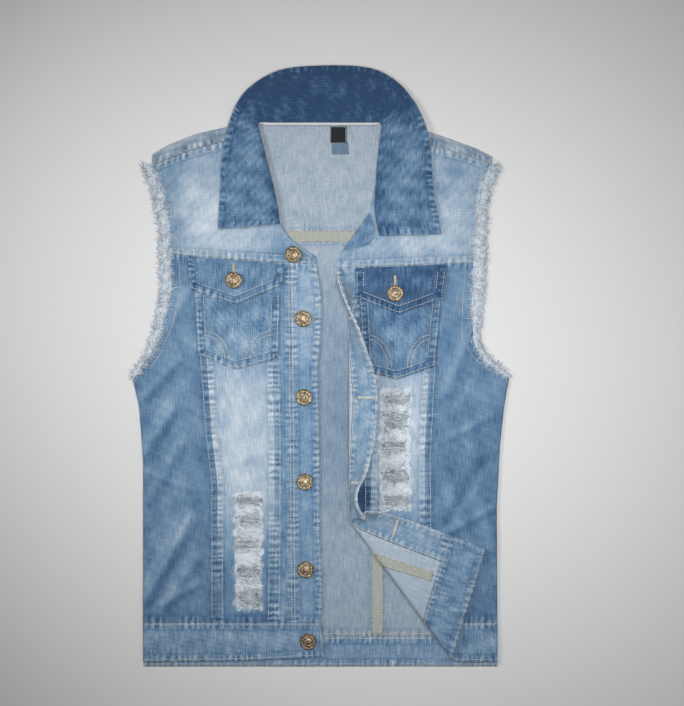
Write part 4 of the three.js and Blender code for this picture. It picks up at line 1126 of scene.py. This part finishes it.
# The buttons: two-piece shank buttons of antique brass, riveted through the right placket and, under
# each flap's buttonhole, through the pocket. Each has a beaded ring between two raised ones, round a
# plain bare middle.
brass, tree, shader = new_material("antique_brass", 0.36, 1.0)
wear = noise(tree, node(tree, "ShaderNodeTexCoord").outputs["Object"], 420, 5)
tone = two_tone(tree, wear, (0.085, 0.060, 0.036), (0.31, 0.25, 0.175), (0.35, 0.62))
tree.links.new(tone, shader.inputs["Base Color"])
dull = node(tree, "ShaderNodeMapRange", {0: wear, 1: 0.3, 2: 0.7, 3: 0.56, 4: 0.44}).outputs[0]
tree.links.new(dull, shader.inputs["Roughness"])
BUTTON = [  # radius, height: foot, post, underside, rim, moat, inner ring, middle
    (0, 0), (3.9, 0), (4.0, 1.55), (9.0, 1.75), (9.75, 2.2), (10, 3), (9.85, 3.9), (9.3, 4.45),
    (8.6, 4.5), (8.1, 4.05), (7.5, 3.7), (6.6, 3.72), (6.1, 4.15), (5.6, 4.6), (5.1, 4.65), (4.7, 4.3),
    (4.2, 4.25), (2.6, 4.7), (0, 4.9),
]
FRONT_BUTTONS = [(-35, 133), (-23, 56), (-22, -38), (-21, -139), (-20, -244), (-17, -330)]
BUTTONS = [("front_%d" % (k + 1), x, y, DOUBLE if k else CLOTH) for k, (x, y) in enumerate(FRONT_BUTTONS)]
BUTTONS += [("pocket_right", -106, 102, FLAP_LIFT + DOUBLE), ("pocket_left", 87, 86, FLAP_LIFT + DOUBLE)]
BUTTON_SIDES = 60
MOAT_RADIUS = 7.05  # of the ring that the beads stand in, mm


def eased_profile(rows):
    """The profile with its corners cut, so that the metal's edges are rounded."""
    points = np.array(rows, float)
    before, after = points[:-1], points[1:]
    return np.stack([before * 0.8 + after * 0.2, before * 0.2 + after * 0.8], 1).reshape(-1, 2)


def button(name, x, y, lift, turned):
    """A lathe of the profile, beaded by |cos(15 a)| where the moat is, and tilted a little."""
    profile = eased_profile(BUTTON)
    angle = 2 * math.pi * np.arange(BUTTON_SIDES) / BUTTON_SIDES
    r, a = profile[:, 0][:, None], angle[None, :] + turned
    moat = np.exp(-((r - MOAT_RADIUS) / 0.6) ** 2) * (profile[:, 1][:, None] > 3)
    z = profile[:, 1][:, None] + 0.35 * moat * np.abs(np.cos(15 * a)) ** 0.6
    tilt = 0.035 * np.cos(a - 2.1 * turned) * r * (profile[:, 1][:, None] > 1.6)
    points = np.stack([r * np.cos(a), r * np.sin(a), z + tilt], -1)
    ring = 2 * math.pi * np.arange(12) / 12
    seat = float(front_under(x + 4.5 * np.cos(ring), y + 4.5 * np.sin(ring)).max()) + lift + GAP
    points = points + [x, y, seat]
    rows = len(profile)
    index = np.arange(rows * BUTTON_SIDES).reshape(rows, BUTTON_SIDES)
    here, there = index[:-1], index[1:]
    quads = np.stack([here, np.roll(here, -1, 1), np.roll(there, -1, 1), there], -1).reshape(-1, 4)
    mesh = bpy.data.meshes.new("cast_button_" + name)
    mesh.from_pydata((points.reshape(-1, 3) / 1000).tolist(), [],
                     quads.tolist() + [index[0, ::-1].tolist(), index[-1].tolist()])
    mesh.polygons.foreach_set("use_smooth", np.ones(len(mesh.polygons), bool))
    settle(placed("cast_button_" + name, mesh, [brass]), ["button_" + name])


for k, (name, x, y, lift) in enumerate(BUTTONS):
    button(name, x, y, lift, 0.7 * k)

# Worked buttonholes: a close satin of thread across a slit, cream on the pocket flaps and grey-white
# down the turned placket, where the slits are seen from their wrong side.
cream_thread = thread_material("buttonhole_thread", (0.60, 0.50, 0.33), 0.3)


def buttonhole(x, y, length, angle, place, height):
    """Bars across a slit: paths from one side of it to the other, 0.7 mm apart."""
    count = int(length / 0.7)
    t = np.linspace(-length / 2, length / 2, count)[:, None]
    s = np.array([-1.5, -1.2, 0, 1.2, 1.5])[None, :]
    h = np.array([-0.2, 0.35, 0.45, 0.35, -0.2])[None, :] + 0 * t
    px = x + t * math.cos(angle) - s * math.sin(angle)
    py = y + t * math.sin(angle) + s * math.cos(angle)
    away = 1 if height > 0 else -1
    return place(px, py, height + away * h)


flap_holes = [buttonhole(-106, 114.5, 15, math.pi / 2, right_place, FLAP_LIFT + DOUBLE),
              buttonhole(87, 99, 17, math.pi / 2, right_place, FLAP_LIFT + DOUBLE)]
front_holes = []
for y in (56, -38, -139, -244):
    x = read(edge_left, y) + 15
    front_holes += [buttonhole(x, y, 21, 0, left_place, -0.2),
                    buttonhole(x, y, 21, 0, left_place, ON_DOUBLE)]
for name, holes, material in (("flap", flap_holes, cream_thread),
                              ("front", front_holes, topstitch_thread)):
    paths = np.concatenate(holes)
    tubes("buttonholes_" + name, paths, np.full(paths.shape[:2], 0.38), material)

# Inside: a woven cotton tape, greyish olive and cream, covers the back's seams and the turned front's
# and is serged along both sides. Two bare woven labels are stitched inside the back of the neck.
tape_cloth, tree, shader = new_material("seam_tape", 0.9)
on_pattern = node(tree, "ShaderNodeUVMap", uv_map="pattern").outputs[0]
speck = noise(tree, stretched(tree, on_pattern, (60, 130, 1)), 1, 4)
tape_tone = two_tone(tree, speck, (0.17, 0.21, 0.20), (0.42, 0.42, 0.36), (0.36, 0.6))
tree.links.new(tape_tone, shader.inputs["Base Color"])
bumped(tree, shader, speck, 0.5, 0.0003)


def tape(name, across, down, place, h):
    """A strip 0.5 mm thick, h from the cloth's underside, puckered by a sine and wavy by 0.15 mm."""
    s, t = np.meshgrid(across, down)
    run = t if len(down) > len(across) else s
    wave = 0.15 * ripple(s * 3, t * 3, 1.3) + 0.2 * np.sin(2 * math.pi * run / PUCKER)
    side = 1 if h > 0 else -1
    near, far = place(s, t, h + 0 * s), place(s, t, h + side * (0.5 + wave))
    layers = (near, far) if side > 0 else (near[:, ::-1], far[:, ::-1])
    flat = np.stack([s, t], -1)
    piece = wall_mesh(name, layers[0], layers[1], flat if side > 0 else flat[:, ::-1], None,
                      0.8 + 0 * s, [tape_cloth] * 3)
    settle(piece, ())


tape("tape_back_yoke", np.linspace(-58, 60, 90), np.linspace(148.5, 161.5, 9), flat_place, CLOTH + 0.2)
tape("tape_back_side", np.linspace(59.5, 72.5, 9), np.linspace(-322, 138, 200), flat_place, CLOTH + 0.2)
tape("tape_turned_seam", np.linspace(55, 67, 9), np.linspace(-303, 60, 220), left_place, -0.25)
ON_TAPE = CLOTH + 0.75
serging = [down_seam(level(x), 0, 136, -322) for x in (60.5, 66, 71.5)]
serging += [across_seam(level(y), 0, -58, 60) for y in (149.5, 160.5)]
band = [across_seam(level(BACK_BAND + off), 0, -6, 130) for off in (-2.5, 3.5)]
band.append(across_seam(level(-358), 0, -212, 207))
turned = [down_seam(level(x), 0, 60, -303) for x in (56, 61, 66)]
sew("stitching_inside", on(serging, flat_place, ON_TAPE) + on(band, flat_place, ON)
    + on(turned, left_place, -0.8), serging_thread)

label_cloth, tree, shader = new_material("bare_black_label", 0.7)
shader.inputs["Specular IOR Level"].default_value = 0.15
on_pattern = node(tree, "ShaderNodeUVMap", uv_map="pattern").outputs[0]
yarn = noise(tree, stretched(tree, on_pattern, (300, 90, 1)), 1, 2)
label_tone = two_tone(tree, yarn, (0.010, 0.011, 0.014), (0.018, 0.019, 0.023))
tree.links.new(label_tone, shader.inputs["Base Color"])
LABELS = [("neck_label", 9, 29, 267.3, 287, 0, "label"), ("care_label", 11, 31, 253, 267, 1, "care_tab")]
for name, x0, x1, y0, y1, blue, slot in LABELS:
    s, t = np.meshgrid(np.linspace(x0, x1, 24), np.linspace(y0, y1, 20))
    bow = 0.25 * np.sin(math.pi * (s - x0) / (x1 - x0)) + 0.15 * ripple(s * 3, t * 3, 2.0)
    base = CLOTH + GAP
    under, over = flat_place(s, t, base + 0 * s), flat_place(s, t, base + 0.55 + np.maximum(bow, -0.2))
    face = denim_inside if blue else label_cloth
    piece = wall_mesh("woven_" + name, under, over, np.stack([s, t], -1), None, 0.36 + 0 * s,
                      [face] * 3)
    settle(piece, [name])
sides = [[(9.8, 268), (9.8, 286.3)], [(28.2, 286.3), (28.2, 268)], [(9.8, 286.3), (28.2, 286.3)]]
sew("stitching_label", on(sides, flat_place, ON_TAPE + GAP))
